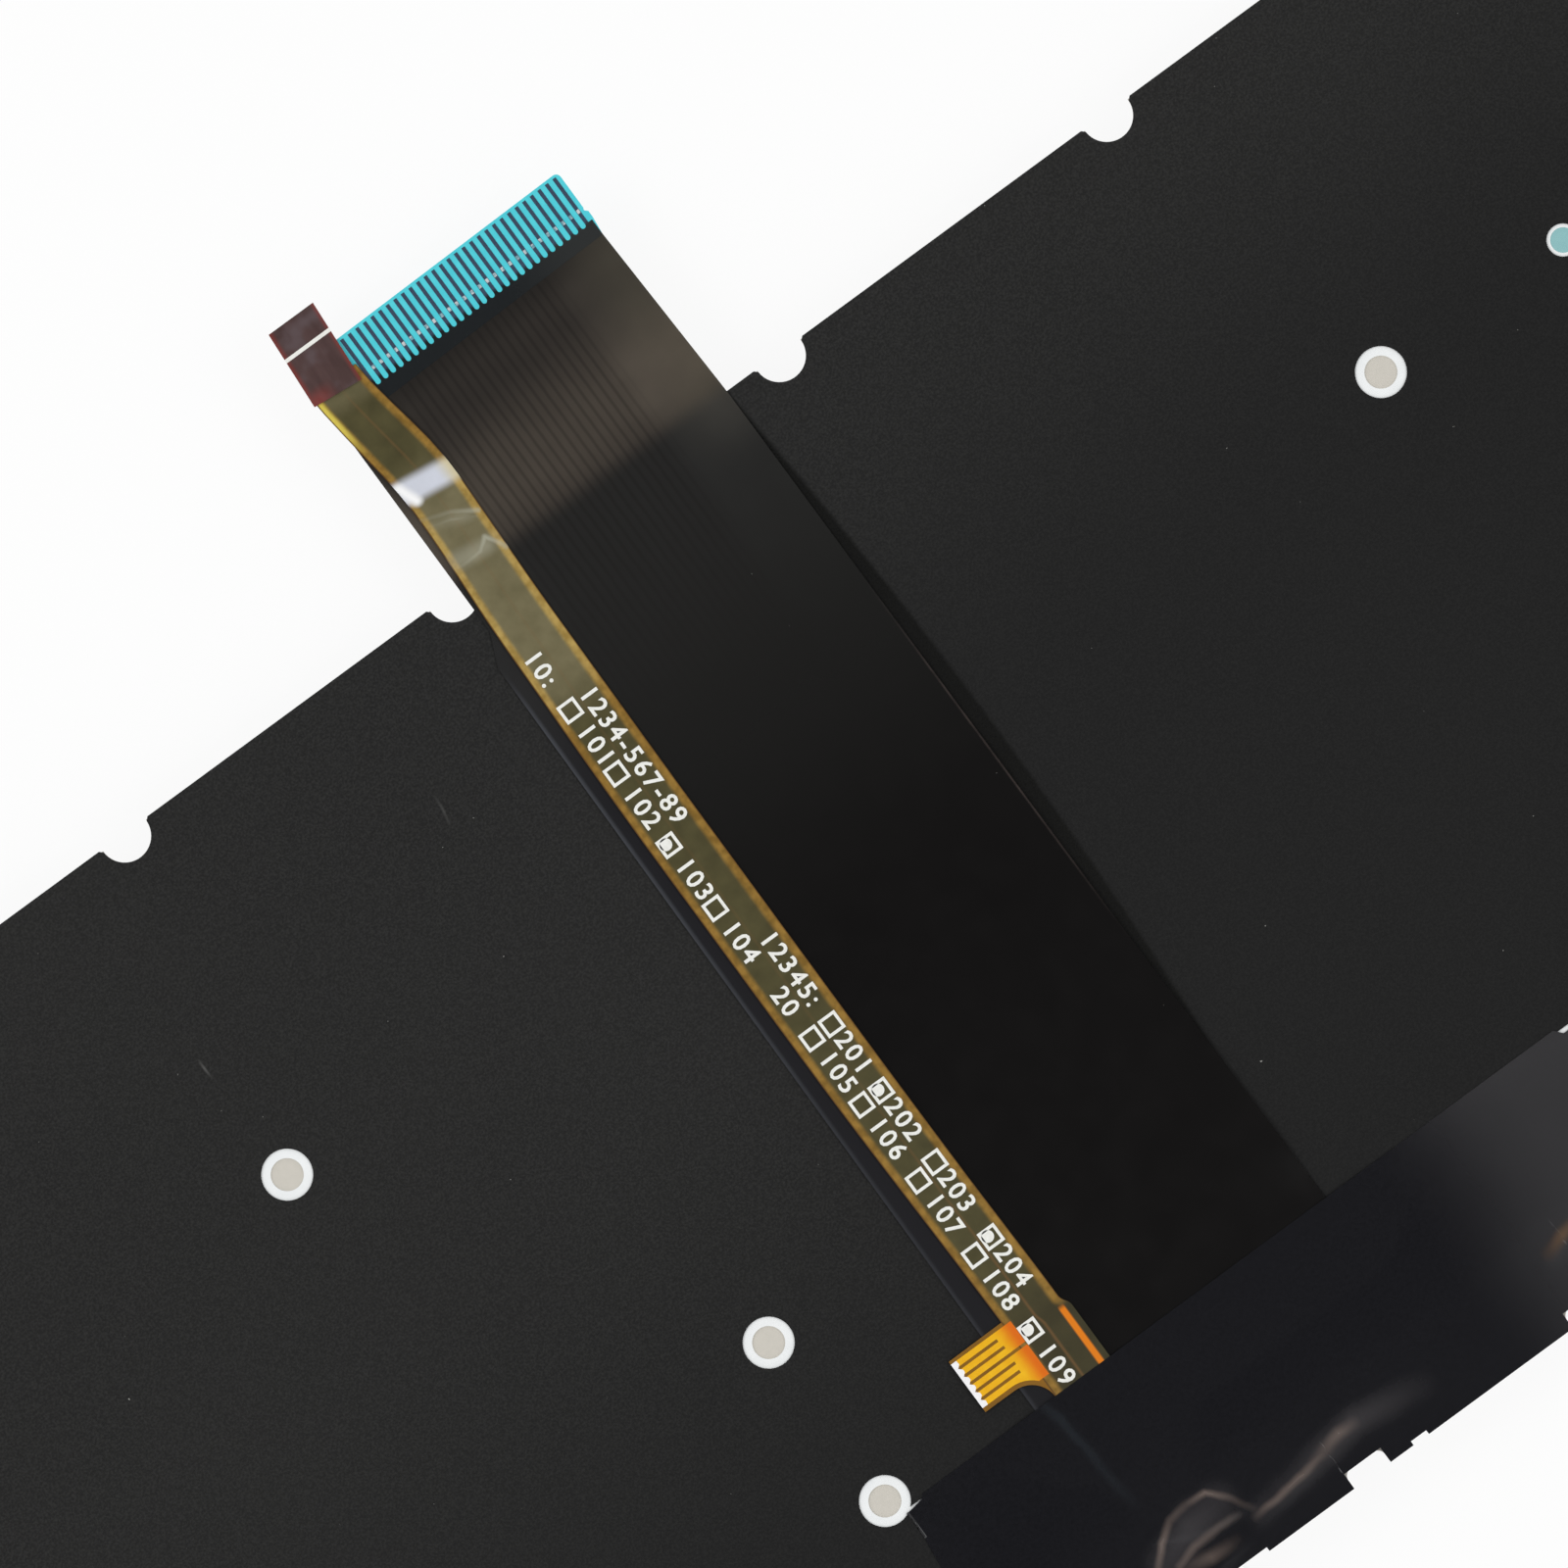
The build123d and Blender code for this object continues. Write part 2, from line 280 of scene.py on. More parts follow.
# Floor in metres, and how far it lies below the part
floor_half = 6.0
floor_drop = 0.05 * MM
floor_tone = (0.86, 0.86, 0.86, 1.0)
floor_roughness = 0.9
floor_glow_share = 0.9

# Room: height of a direction and its brightness
sky_bands = [(0.0, 1.0), (0.6, 0.9), (0.9, 0.35), (0.985, 0.03)]

# Lights: name, place, width and depth in metres, and power
area_lights = [
    ("key_light", (-0.75, 0.55, 0.85), 0.7, 0.7, 4.5),
    ("fill_light", (0.85, -0.35, 0.9), 0.8, 0.8, 3.4),
    ("glint_light", (-0.03, -0.36, 1.15), 0.35, 0.12, 0.6),
]

# Soft strokes of real marks and of painted light: width, and places of X, distance from the cable edge and
# strength
stray_scale = 0.25
stray_amount = 0.8
film_scratches = [
    (0.16, [(-57.7, 19.2, 0.0), (-57.6, 20.2, 0.6), (-57.6, 21.2, 0.0)]),
    (0.2, [(-28.4, 12.8, 0.0), (-28.6, 14.4, 0.3), (-28.8, 16.0, 0.0)]),
]
# Painted white glint at the circuit's bend
circuit_glint = [(0.75, [(-15.45, -9.7, 1.0), (-14.85, -8.1, 1.0)])]
# Painted highlights along the circuit's creases, with a broad pale band of painted light beside them
circuit_crease_highlights = [
    (1.3, [(-15.2, -1.9, 0.3), (-12.4, -1.6, 0.34), (-11.4, -1.7, 0.1)]),
    (0.9, [(-14.8, -5.4, 0.08), (-12.2, -4.6, 0.2)]),
    (0.35, [(-15.6, -6.4, 0.1), (-12.8, -5.3, 0.25), (-11.0, -4.5, 0.5)]),
    (0.3, [(-14.9, -5.4, 0.1), (-13.0, -4.8, 0.3), (-11.5, -4.2, 0.1)]),
    (0.45, [(-15.4, -1.4, 0.25), (-13.1, -1.5, 0.55), (-12.0, -2.3, 0.65), (-11.1, -0.5, 0.45)]),
]
# Painted bluish highlight where the tape drapes over the strip's left border
tape_drape_highlight = [
    (0.7, [(-17.5, 84.5, 0.1), (-16.8, 87.0, 0.2), (-16.2, 94.2, 0.1), (-16.0, 97.0, 0.0)]),
]
tape_glow = [
    (2.6, [(-16.8, 101.8, 0.14), (-13.4, 100.6, 0.2), (-10.4, 100.2, 0.12)]),
    (1.9, [(-7.6, 103.0, 0.08), (-2.0, 102.3, 0.14), (3.0, 101.6, 0.2), (11.0, 102.5, 0.0)]),
]
# Painted highlights along the creases round the blister and on the fold
tape_crease_highlights = [
    (0.55, [(-17.6, 101.7, 0.25), (-16.1, 100.2, 0.4), (-14.5, 99.1, 0.2), (-12.6, 98.9, 0.15)]),
    (0.5, [(-12.6, 98.9, 0.15), (-10.8, 98.9, 0.42), (-9.1, 100.6, 0.16), (-8.0, 102.5, 0.05)]),
    (0.6, [(-16.1, 102.7, 0.22), (-14.0, 102.2, 0.28), (-10.4, 101.9, 0.14), (-8.9, 102.1, 0.0)]),
    (0.9, [(-16.0, 103.2, 0.05), (-13.5, 103.6, 0.3), (-11.0, 103.7, 0.05)]),
    (0.6, [(-8.8, 103.2, 0.0), (-6.8, 102.9, 0.3), (-3.3, 102.5, 0.36), (-0.8, 102.2, 0.2)]),
    (0.8, [(-1.8, 102.3, 0.1), (1.5, 101.6, 0.34), (3.6, 101.7, 0.0)]),
]
# Painted warm glint on the fold at the right end of the tape
tape_warm_glint = [(0.9, [(24.5, 99.7, 0.1), (26.4, 99.2, 0.42), (28.8, 98.7, 0.1)])]

# Plain surfaces: cloud size and detail, two tones, roughness, relief, and a coat's weight and roughness
plain_looks = {
    "guide_milky": (0.4, 1.0, (204, 200, 190), (211, 206, 196), (0.3, 0.4), 0.004, (0.4, 0.1)),
    "reflector_white": (1.4, 2.0, (234, 237, 238), (247, 249, 249), (0.4, 0.5), 0.006, None),
    "stiffener_cyan": (1.2, 3.0, (60, 196, 212), (92, 220, 230), (0.4, 0.4), 0.004, (0.3, 0.2)),
    "branch_amber": (1.5, 3.0, (112, 76, 16), (150, 104, 26), (0.3, 0.3), 0.004, (0.6, 0.12)),
    "solder_white": (0.3, 2.0, (238, 237, 240), (255, 255, 255), (0.2, 0.35), 0.02, None),
    "print_white": (0.4, 2.0, (222, 222, 214), (250, 250, 246), (0.5, 0.5), 0.004, None),
    "pad_teal": (0.8, 2.0, (134, 184, 187), (148, 196, 197), (0.45, 0.45), 0.004, None),
    "legend_white": (0.5, 2.0, (214, 216, 218), (232, 234, 235), (0.5, 0.5), 0.004, None),
    "link_plastic": (1.2, 3.0, (30, 30, 31), (42, 42, 43), (0.3, 0.42), 0.008, None),
}


def point(x, from_edge, z):
    """Place in metres of a point given in millimetres: X, distance from the cable edge, and height."""
    return Vector((x, cable_edge_y - from_edge, z)) * MM


def smooth(value, start, end):
    """Rises smoothly from 0 to 1 as the value goes from start to end."""
    share = min(1.0, max(0.0, (value - start) / (end - start)))
    return share * share * (3.0 - 2.0 * share)


def along(line, value):
    """Value of a line of straight runs, given as pairs."""
    for (start, low), (end, high) in zip(line, line[1:]):
        if value <= end:
            share = max(0.0, (value - start) / (end - start))
            return low + (high - low) * share
    return line[-1][1]


# Materials

def seen(red, green, blue):
    """Linear colour of a tone as it is seen, from 0 to 255."""
    def linear(value):
        value = value / 255.0
        return value / 12.92 if value <= 0.04045 else ((value + 0.055) / 1.055) ** 2.4
    return (linear(red), linear(green), linear(blue), 1.0)


class Value:
    """What a material's nodes work out. * multiplies two values, | takes the larger one."""

    def __init__(self, paint, socket):
        self.paint = paint
        self.socket = socket

    def __mul__(self, other):
        return self.paint.math("MULTIPLY", self, other)

    def __or__(self, other):
        return self.paint.math("MAXIMUM", self, other)

    def fade(self, start, end):
        """Rises smoothly from 0 to 1 as the value goes from start to end."""
        return self.paint.value("MapRange", self, start, end, interpolation_type="SMOOTHSTEP")

    def between(self, low, high):
        """Goes from low to high as the value goes from 0 to 1."""
        return self.paint.value("MapRange", self, 0.0, 1.0, low, high)

    def inside(self, low, high, soft):
        """1 between low and high, with soft borders."""
        return self.fade(low - soft, low + soft) * self.fade(high + soft, high - soft)


class Paint:
    """A material under construction: its shader, and short calls that add nodes to it."""

    def __init__(self, name, **constants):
        self.material = bpy.data.materials.new(name)
        self.material.use_nodes = True
        self.tree = self.material.node_tree
        self.shader = self.tree.nodes["Principled BSDF"]
        for socket, value in constants.items():
            self.shader.inputs[socket.replace("_", " ")].default_value = value
        scale = (1.0 / MM, 1.0 / MM, 1.0 / MM)
        self.place = self.vector("MULTIPLY", self.node("TexCoord").outputs["Object"], scale)
        self.x, y, self.z = self.split(self.place)
        self.from_edge = self.math("SUBTRACT", cable_edge_y, y)

    def set(self, socket, value):
        """Feeds a socket with a constant, a value or another node's output."""
        if isinstance(value, Value):
            value = value.socket
        if isinstance(value, bpy.types.NodeSocket):
            self.tree.links.new(value, socket)
        else:
            socket.default_value = value

    def node(self, kind, *inputs, **settings):
        made = self.tree.nodes.new("ShaderNode" + kind)
        for name, value in settings.items():
            setattr(made, name, value)
        for index, value in enumerate(inputs):
            self.set(made.inputs[index], value)
        return made

    def value(self, kind, *inputs, output=0, **settings):
        return Value(self, self.node(kind, *inputs, **settings).outputs[output])

    def math(self, operation, *inputs):
        return self.value("Math", *inputs, operation=operation)

    def vector(self, operation, *inputs, output=0):
        return self.value("VectorMath", *inputs, output=output, operation=operation)

    def split(self, place):
        return [Value(self, part) for part in self.node("SeparateXYZ", place).outputs]

    def noise(self, size, detail=2.0, stretch=(1.0, 1.0, 1.0)):
        """Noise from 0 to 1, with features of this size in millimetres."""
        made = self.node("TexNoise", self.vector("MULTIPLY", self.place, stretch))
        made.inputs["Scale"].default_value = 1.0 / size
        made.inputs["Detail"].default_value = detail
        return Value(self, made.outputs["Fac"])

    def strokes(self, runs):
        """The strongest of several soft strokes.

        Each has a width and runs through places of X, distance from the cable edge and strength.
        """
        stray = self.node("TexNoise", self.place)
        stray.inputs["Scale"].default_value = stray_scale
        shift = self.vector("SUBTRACT", stray.outputs["Color"], (0.5, 0.5, 0.5))
        flat = self.value("CombineXYZ", self.x, self.from_edge)
        place = self.vector("MULTIPLY_ADD", shift, (stray_amount, stray_amount, 0.0), flat)
        strongest = 0.0
        for width, places in runs:
            for start, end in zip(places, places[1:]):
                first = Vector((start[0], start[1], 0.0))
                run = Vector((end[0], end[1], 0.0)) - first
                offset = self.vector("SUBTRACT", place, first)
                ahead = self.vector("DOT_PRODUCT", offset, run, output="Value")
                scale = 1.0 / run.length_squared
                share = self.value("Math", ahead, scale, operation="MULTIPLY", use_clamp=True)
                side = self.vector("MULTIPLY_ADD", share, -run, offset)
                distance = self.vector("LENGTH", side, output="Value")
                shown = distance.fade(width, 0.0) * share.between(start[2], end[2])
                strongest = self.math("MAXIMUM", strongest, shown)
        return strongest

    def mix(self, share, first, second):
        """Blend of two tones, each another node's output or a colour as it is seen."""
        made = self.node("Mix", data_type="RGBA")
        self.set(made.inputs[0], share)
        for index, tone in [(6, first), (7, second)]:
            self.set(made.inputs[index], seen(*tone) if isinstance(tone, tuple) else tone)
        return made.outputs[2]

    def lay(self, share, tone):
        """Lays a tone over the colour so far."""
        self.tone = self.mix(share, self.tone, tone)

    def across_strip(self):
        """Share of a strip's width and distance along it, from the strip's own map."""
        across, distance, _ = self.split(self.node("UVMap").outputs[0])
        return across, distance * (1.0 / MM)

    def finish(self, roughness, height=None, depth=0.0):
        """Joins tone, roughness and a relief of this depth in millimetres to the shader."""
        self.set(self.shader.inputs["Base Color"], self.tone)
        self.set(self.shader.inputs["Roughness"], roughness)
        if height is not None:
            bump = self.node("Bump")
            bump.inputs["Distance"].default_value = depth * MM
            self.set(bump.inputs["Height"], height)
            self.set(self.shader.inputs["Normal"], bump.outputs[0])
        return self.material


def plain_paint(name):
    """Material of a plain surface."""
    size, detail, dark, pale, (low, high), relief, coat = plain_looks[name]
    paint = Paint(name, **dict(zip(["Coat_Weight", "Coat_Roughness"], coat or ())))
    cloud = paint.noise(size, detail)
    paint.tone = paint.mix(cloud, dark, pale)
    return paint.finish(low if low == high else cloud.between(low, high), cloud, relief)


def paint_film():
    """Matte black film with a fine grain, faint clouds and a few specks of dust; painted shade darkens its
    right half and its far part, and a painted shadow lies beside the tail's lifted right border.
    """
    paint = Paint("film_black", Specular_IOR_Level=0.22)
    grain = paint.noise(0.2, 3.0)
    paint.tone = paint.mix(paint.noise(30.0), (17, 17, 17), (25, 25, 24))
    paint.lay(grain.fade(0.3, 0.8), (40, 40, 39))
    # Painted shade: darker on the right half and towards the far edge, where less light falls.
    right_half = paint.x.fade(0.0, 13.0) * paint.from_edge.fade(0.0, 36.0)
    shaded = right_half | paint.from_edge.fade(45.0, 95.0)
    paint.lay(shaded * 0.6, (6, 6, 7))
    # Painted shadow of the tail's lifted right border: an arch of dark tone on the film just right of the
    # tail.
    arch = paint.math("MULTIPLY_ADD", paint.from_edge, 1.0 / 37.0, -1.0)
    arch = paint.math("MULTIPLY_ADD", arch * arch, -1.6, tail_right_line[1][1] + 1.6)
    shade = paint.math("SUBTRACT", paint.x, arch).fade(0.3, -0.3) * paint.x.fade(tail_left, 0.0)
    paint.lay(shade, (19, 19, 18))
    paint.lay(paint.noise(0.5).fade(0.8, 0.83), (150, 150, 145))
    paint.lay(paint.strokes(film_scratches), (96, 96, 94))
    return paint.finish(paint.math("MULTIPLY_ADD", shade, -0.3, grain.between(0.5, 0.66)))


def paint_metal():
    """Pale rolled sheet metal with a faint grain along X."""
    paint = Paint("plate_metal", Metallic=0.25)
    grain = paint.noise(0.3, 3.0, (0.08, 1.0, 1.0))
    paint.tone = paint.mix(grain, (196, 192, 184), (212, 208, 199))
    return paint.finish(grain.between(0.38, 0.5), grain, 0.01)


def paint_membrane():
    """Dark clear switch film with silver tracks."""
    paint = Paint("membrane_film")
    track = paint.math("PINGPONG", paint.x, 2.4).inside(1.0, 1.4, 0.1)
    paint.tone = paint.mix(track, (58, 62, 60), (132, 136, 134))
    paint.lay(paint.noise(4.0).between(0.0, 0.3), (40, 44, 43))
    return paint.finish(0.3, track, 0.01)


def paint_tail():
    """Black flexible circuit with fine tracks. Where it hangs past the edge it is brown and slightly clear,
    and light from the floor below is painted into it, with a painted lit band; painted highlights run along
    its left and right borders.
    """
    paint = Paint("tail_black", Specular_IOR_Level=0.4)
    wave = paint.math("SINE", paint.x * (2.0 * math.pi / stripe_pitch))
    tracks = wave.between(0.5, 1.0) * paint.x.inside(track_left, track_right - 1.0, 1.2)
    tracks = tracks * paint.from_edge.fade(30.0, -4.0)
    hanging = paint.from_edge.fade(0.7, -1.5)
    clear = paint.x.fade(4.5, 11.2)
    lit = paint.from_edge.fade(-13.0, -5.0) * paint.from_edge.fade(2.0, -4.0)
    paint.tone = paint.mix(paint.from_edge.fade(45.0, 12.0), (17, 16, 16), (33, 33, 32))
    paint.lay(paint.from_edge.fade(22.0, 0.0), (43, 43, 42))
    # Painted light: lighter on the right near the cable edge, and past the edge brown and lighter, as light
    # from below showing through the film, in a lit and an unlit copy of the tone.
    paint.lay(clear * paint.from_edge.fade(6.0, -1.0), (66, 64, 60))
    brown = paint.mix(lit, (57, 53, 49), (85, 78, 70))
    brown = paint.mix(clear, brown, paint.mix(lit, (69, 65, 57), (88, 81, 71)))
    paint.lay(hanging, brown)
    paint.lay(tracks * 0.52, (24, 22, 21))
    paint.lay(paint.from_edge.fade(-14.2, -17.0) * clear.between(0.5, 0.15), (27, 27, 26))
    margin = paint.x.fade(-15.5, -16.4)
    bare = paint.mix(paint.from_edge.fade(7.0, 24.0), (44, 44, 44), (35, 35, 38))
    across, distance = paint.across_strip()
    # Painted highlight along the tail's left border, a pale line where its edge catches the light.
    rim = across.fade(0.016, 0.002) * distance.fade(7.0, 14.0) * distance.fade(14.0, 70.0).between(0.9, 0.4)
    bare = paint.mix(rim, bare, (72, 74, 79))
    paint.lay(margin * paint.from_edge.fade(4.0, 5.6), bare)
    cloud = paint.noise(3.0, 3.0)
    paint.lay(cloud.between(0.0, 0.3), (20, 18, 17))
    # Painted highlight along the tail's right border: a thin pale line where its cut edge catches the light.
    cut = across.fade(0.9925, 0.997) * distance.inside(26.0, 50.0, 8.0)
    paint.lay(cut * paint.noise(1.5).between(0.05, 0.5), (88, 78, 75))
    paint.lay(paint.noise(0.45).fade(0.81, 0.83), (190, 190, 185))
    return paint.finish(cloud.between(0.14, 0.22), tracks, 0.012)


def paint_comb():
    """Dark carbon print of the contacts."""
    paint = Paint("contact_carbon")
    grain = paint.noise(0.2, 3.0)
    stripe = paint.mix(grain, (46, 60, 80), (70, 84, 104))
    cover = paint.mix(grain, (22, 26, 28), (30, 33, 35))
    cover = paint.mix(paint.x.fade(1.0, 10.0), cover, (44, 46, 46))
    paint.tone = paint.mix(paint.from_edge.fade(stripe_root - stripe_fade, stripe_root), stripe, cover)
    return paint.finish(grain.between(0.2, 0.3), grain, 0.004)


def paint_pale_mark():
    """Worn silver under the contact print."""
    paint = Paint("worn_silver")
    cloud = paint.noise(0.35, 2.0)
    paint.tone = paint.mix(cloud.fade(0.35, 0.65), (104, 150, 164), (206, 204, 206))
    return paint.finish(0.4)


def paint_circuit():
    """Amber flexible circuit: dark copper seen through clear amber, with brighter bare borders, a painted
    highlight across its bend, a painted white glint and painted highlights along its creases.
    """
    paint = Paint("circuit_amber", Coat_Weight=0.8, Coat_Roughness=0.12)
    across, distance = paint.across_strip()
    bright = distance.inside(-9.0, 13.0, 3.0)
    copper = across.inside(0.125, 0.865, 0.045)
    worn = paint.noise(0.8, 3.0).fade(0.25, 0.75)
    edge = paint.mix(worn, (120, 90, 32), (156, 120, 52))
    edge = paint.mix(bright, edge, paint.mix(worn, (150, 122, 58), (184, 156, 88)))
    left = distance.fade(-13.0, -17.0) * across.fade(0.16, 0.05)
    edge = paint.mix(left, edge, (216, 196, 84))
    edge = paint.mix(across.inside(0.02, 0.985, 0.012), (92, 62, 24), edge)
    mottle = paint.noise(1.6, 4.0)
    centre = paint.mix(mottle, (56, 52, 28), (90, 84, 52))
    pale = paint.mix(mottle, (92, 86, 58), (128, 120, 90))
    at_tip = distance.fade(-17.0, -18.6) * 0.6
    centre = paint.mix(bright | at_tip, centre, pale)
    dark = paint.mix(mottle, (48, 44, 24), (70, 64, 38))
    centre = paint.mix(distance.fade(74.0, 79.0), centre, dark)
    gap = distance.fade(50.0, 80.0).between(0.15, 0.6)
    gap = (gap | distance.inside(-18.5, -10.0, 1.5) * 0.35) * across.inside(0.49, 0.53, 0.02)
    centre = paint.mix(gap, centre, (118, 86, 50))
    paint.tone = paint.mix(copper, edge, centre)
    paint.lay(paint.x.fade(-12.2, -11.8) * distance.fade(78.2, 79.2), centre)
    lead = paint.x.inside(-11.46, -10.92, 0.1) * distance.inside(79.1, 85.4, 0.3)
    paint.lay(lead, (228, 126, 14))
    # Painted highlight across the bend, bluish white turning gold towards the right border, where the hump of
    # the strip catches the light.
    skewed = paint.math("MULTIPLY_ADD", paint.x, -0.13, distance)
    bend = skewed.inside(-8.15, -6.1, 0.5) * mottle.between(0.8, 1.0)
    bend_highlight_tone = paint.mix(across.fade(0.7, 1.0), (216, 220, 232), (214, 204, 170))
    paint.lay(bend, bend_highlight_tone)
    # Painted white glint at the bend.
    paint.lay(paint.strokes(circuit_glint), (254, 254, 254))
    # Painted highlights along the creases, with a broad pale band of painted light beside them.
    paint.lay(paint.strokes(circuit_crease_highlights), (182, 182, 164))
    return paint.finish(0.3, copper, 0.012)


def paint_gold():
    """Gold-plated fingers, deeper orange at the root under the amber cover."""
    paint = Paint("gold_fingers", Metallic=0.2)
    cloud = paint.noise(0.8, 3.0)
    paint.tone = paint.mix(cloud, (244, 172, 10), (255, 202, 26))
    paint.lay(paint.x.fade(-17.2, -15.6), (232, 112, 8))
    return paint.finish(cloud.between(0.28, 0.42), cloud, 0.006)


def paint_tip():
    """Dark red-brown stiffener, redder along its edges, with faint streaks and soft clouds of painted grey
    highlight.
    """
    paint = Paint("stiffener_red", Coat_Weight=0.25, Coat_Roughness=0.25)
    across, distance = paint.across_strip()
    rim = across.fade(0.12, 0.0) | across.fade(0.9, 1.0) | distance.fade(1.6, 0.2) * across.fade(0.6, 0.1)
    streak = paint.noise(0.7, 2.0, (1.0, 0.2, 1.0))
    paint.tone = paint.mix(streak, (52, 32, 30), (82, 57, 55))
    # Painted highlight: soft grey clouds where the stiffener catches the light.
    paint.lay(paint.noise(2.2).fade(0.5, 0.75), (84, 68, 70))
    paint.lay(rim * 0.6, (134, 40, 30))
    return paint.finish(streak.between(0.35, 0.5), streak, 0.01)


def paint_tape():
    """Glossy bluish black tape, rougher at its right end, where a painted glow lies too; painted glows round
    a blister and along a fold, painted highlights on their creases, a painted line where it drapes over the
    strip's border, and a painted warm glint.
    """
    paint = Paint("tape_black")
    cloud = paint.noise(9.0, 3.0)
    grain = paint.noise(0.3, 2.0)
    rough_end_with_painted_glow = paint.x.fade(16.0, 32.0) * cloud.between(0.6, 1.0)
    paint.tone = paint.mix(grain, (16, 16, 19), (28, 28, 32))
    # Painted glow at the rougher right end of the tape.
    paint.lay(rough_end_with_painted_glow * 0.55, (46, 44, 46))
    # Painted bluish highlight where the tape drapes over the strip's left border.
    paint.lay(paint.strokes(tape_drape_highlight), (58, 66, 72))
    paint.lay(paint.strokes(tape_glow), (112, 108, 110))
    # Painted highlights along the creases round the blister and on the fold.
    creases = paint.strokes(tape_crease_highlights)
    paint.lay(creases, (138, 120, 110))
    # Painted warm glint on the fold at the right end.
    warm = paint.strokes(tape_warm_glint)
    paint.lay(warm, (124, 92, 60))
    return paint.finish((rough_end_with_painted_glow | (creases | warm)).between(0.16, 0.5))


def paint_cap():
    """Black keycap plastic with a fine moulded grain."""
    paint = Paint("keycap_black")
    grain = paint.noise(0.12, 3.0)
    paint.tone = paint.mix(paint.noise(6.0), (26, 26, 27), (34, 34, 35))
    return paint.finish(grain.between(0.46, 0.62), grain, 0.012)


def paint_dome():
    """Milky silicone rubber."""
    paint = Paint("dome_rubber", Subsurface_Weight=0.2, Subsurface_Scale=0.001)
    cloud = paint.noise(0.9, 2.0)
    paint.tone = paint.mix(cloud, (190, 192, 190), (212, 214, 211))
    return paint.finish(cloud.between(0.4, 0.55), cloud, 0.01)


def paint_lamp():
    """Side-lit lamp: white body with a yellow phosphor window at the front."""
    paint = Paint("lamp_white")
    cloud = paint.noise(0.6, 2.0)
    paint.tone = paint.mix(cloud, (226, 224, 214), (240, 238, 230))
    paint.lay(paint.z.inside(4.5, 4.85, 0.03), (228, 200, 70))
    return paint.finish(0.4, cloud, 0.006)


# Pieces

def linked(name, data):
    made = bpy.data.objects.new(name, data)
    bpy.context.scene.collection.objects.link(made)
    return made


def add_faces(work, places, faces):
    """Adds faces, given as indices of places in metres."""
    corners = [work.verts.new(place) for place in places]
    return [work.faces.new([corners[index] for index in face]) for face in faces]


def built(name, work, materials, body=ROOT, rounded=False):
    """Links what was built, faced outwards, as a piece that rides on a body.

    A rounded piece is smooth, except at sharp edges.
    """
    work.normal_update()
    bmesh.ops.recalc_face_normals(work, faces=work.faces)
    if rounded:
        for edge in work.edges:
            edge.smooth = edge.calc_face_angle(0.0) < sharp_angle
    mesh = bpy.data.meshes.new(name)
    work.to_mesh(mesh)
    work.free()
    mesh.polygons.foreach_set("use_smooth", [rounded] * len(mesh.polygons))
    for material in materials:
        mesh.materials.append(material)
    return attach(linked(name, mesh), body)


def piece(name, places, faces, material, rounded=False):
    """Piece of the fixed module, made of places in metres and faces between them."""
    work = bmesh.new()
    add_faces(work, places, faces)
    return built(name, work, [material], rounded=rounded)


def ring_faces(ring_count, size):
    """Quads between closed rings of as many points, and a face on each end."""
    faces = []
    for ring in range(ring_count - 1):
        for index in range(size):
            after = (index + 1) % size
            low = ring * size
            faces.append((low + index, low + after, low + size + after, low + size + index))
    last = (ring_count - 1) * size
    return faces + [tuple(reversed(range(size))), tuple(range(last, last + size))]


def plate(name, outline, low, high, material):
    """Flat plate of an outline of X and distance from the cable edge."""
    vertices = [point(x, from_edge, z) for z in (low, high) for x, from_edge in outline]
    return piece(name, vertices, ring_faces(2, len(outline)), material)


def strip_map(mesh, places):
    """Stores each point's share of the width and its distance, in metres, in the mesh's own map."""
    layer = mesh.uv_layers.new(name="strip")
    for loop in mesh.loops:
        layer.data[loop.index].uv = places[loop.vertex_index]


def draped_sheet(name, stations, borders, rows, height, thickness, material, lengthwise=True):
    """Thin closed sheet. At each station a row of points joins its two borders, at the given height.

    Stations are distances from the cable edge, or X where the sheet isn't lengthwise.
    """
    tops = []
    places = []
    for station in stations:
        start, end = borders(station)
        for row in range(rows + 1):
            share = row / rows
            across = start + (end - start) * share
            x, from_edge = (across, station) if lengthwise else (station, across)
            tops.append((x, from_edge, height(x, from_edge)))
            places.append((share, station * MM))
    count = len(tops)
    vertices = [point(*top) for top in tops]
    vertices += [point(x, from_edge, z - thickness) for x, from_edge, z in tops]
    width = rows + 1
    faces = []
    for station in range(len(stations) - 1):
        for row in range(rows):
            low = station * width + row
            quad = (low, low + 1, low + width + 1, low + width)
            faces.append(quad)
            faces.append(tuple(count + index for index in reversed(quad)))
    rim = list(range(width))
    rim += [station * width + rows for station in range(1, len(stations))]
    rim += [(len(stations) - 1) * width + row for row in range(rows - 1, -1, -1)]
    rim += [station * width for station in range(len(stations) - 2, 0, -1)]
    for first, second in zip(rim, rim[1:] + rim[:1]):
        faces.append((first, second, count + second, count + first))
    made = piece(name, vertices, faces, material, rounded=True)
    strip_map(made.data, places + places)
    return made


def steps(*spans):
    """Evenly spaced values over spans of a start, an end and an approximate step."""
    values = []
    for start, end, size in spans:
        count = max(1, round((end - start) / size))
        values += [start + (end - start) * index / count for index in range(count + 1)]
    return values


# Signal tail

def tail_borders(from_edge):
    return along(tail_left_line, from_edge), along(tail_right_line, from_edge)


def tail_height(x, from_edge):
    """The tail lies on the film and lifts a little along its right border."""
    _, right = tail_borders(from_edge)
    lift = edge_lift * smooth(x, right - edge_lift_width, right) * smooth(from_edge, *edge_lift_rise)
    lift *= 1.0 - smooth(from_edge, *edge_lift_fall)
    return tail_top - cover_thickness + lift


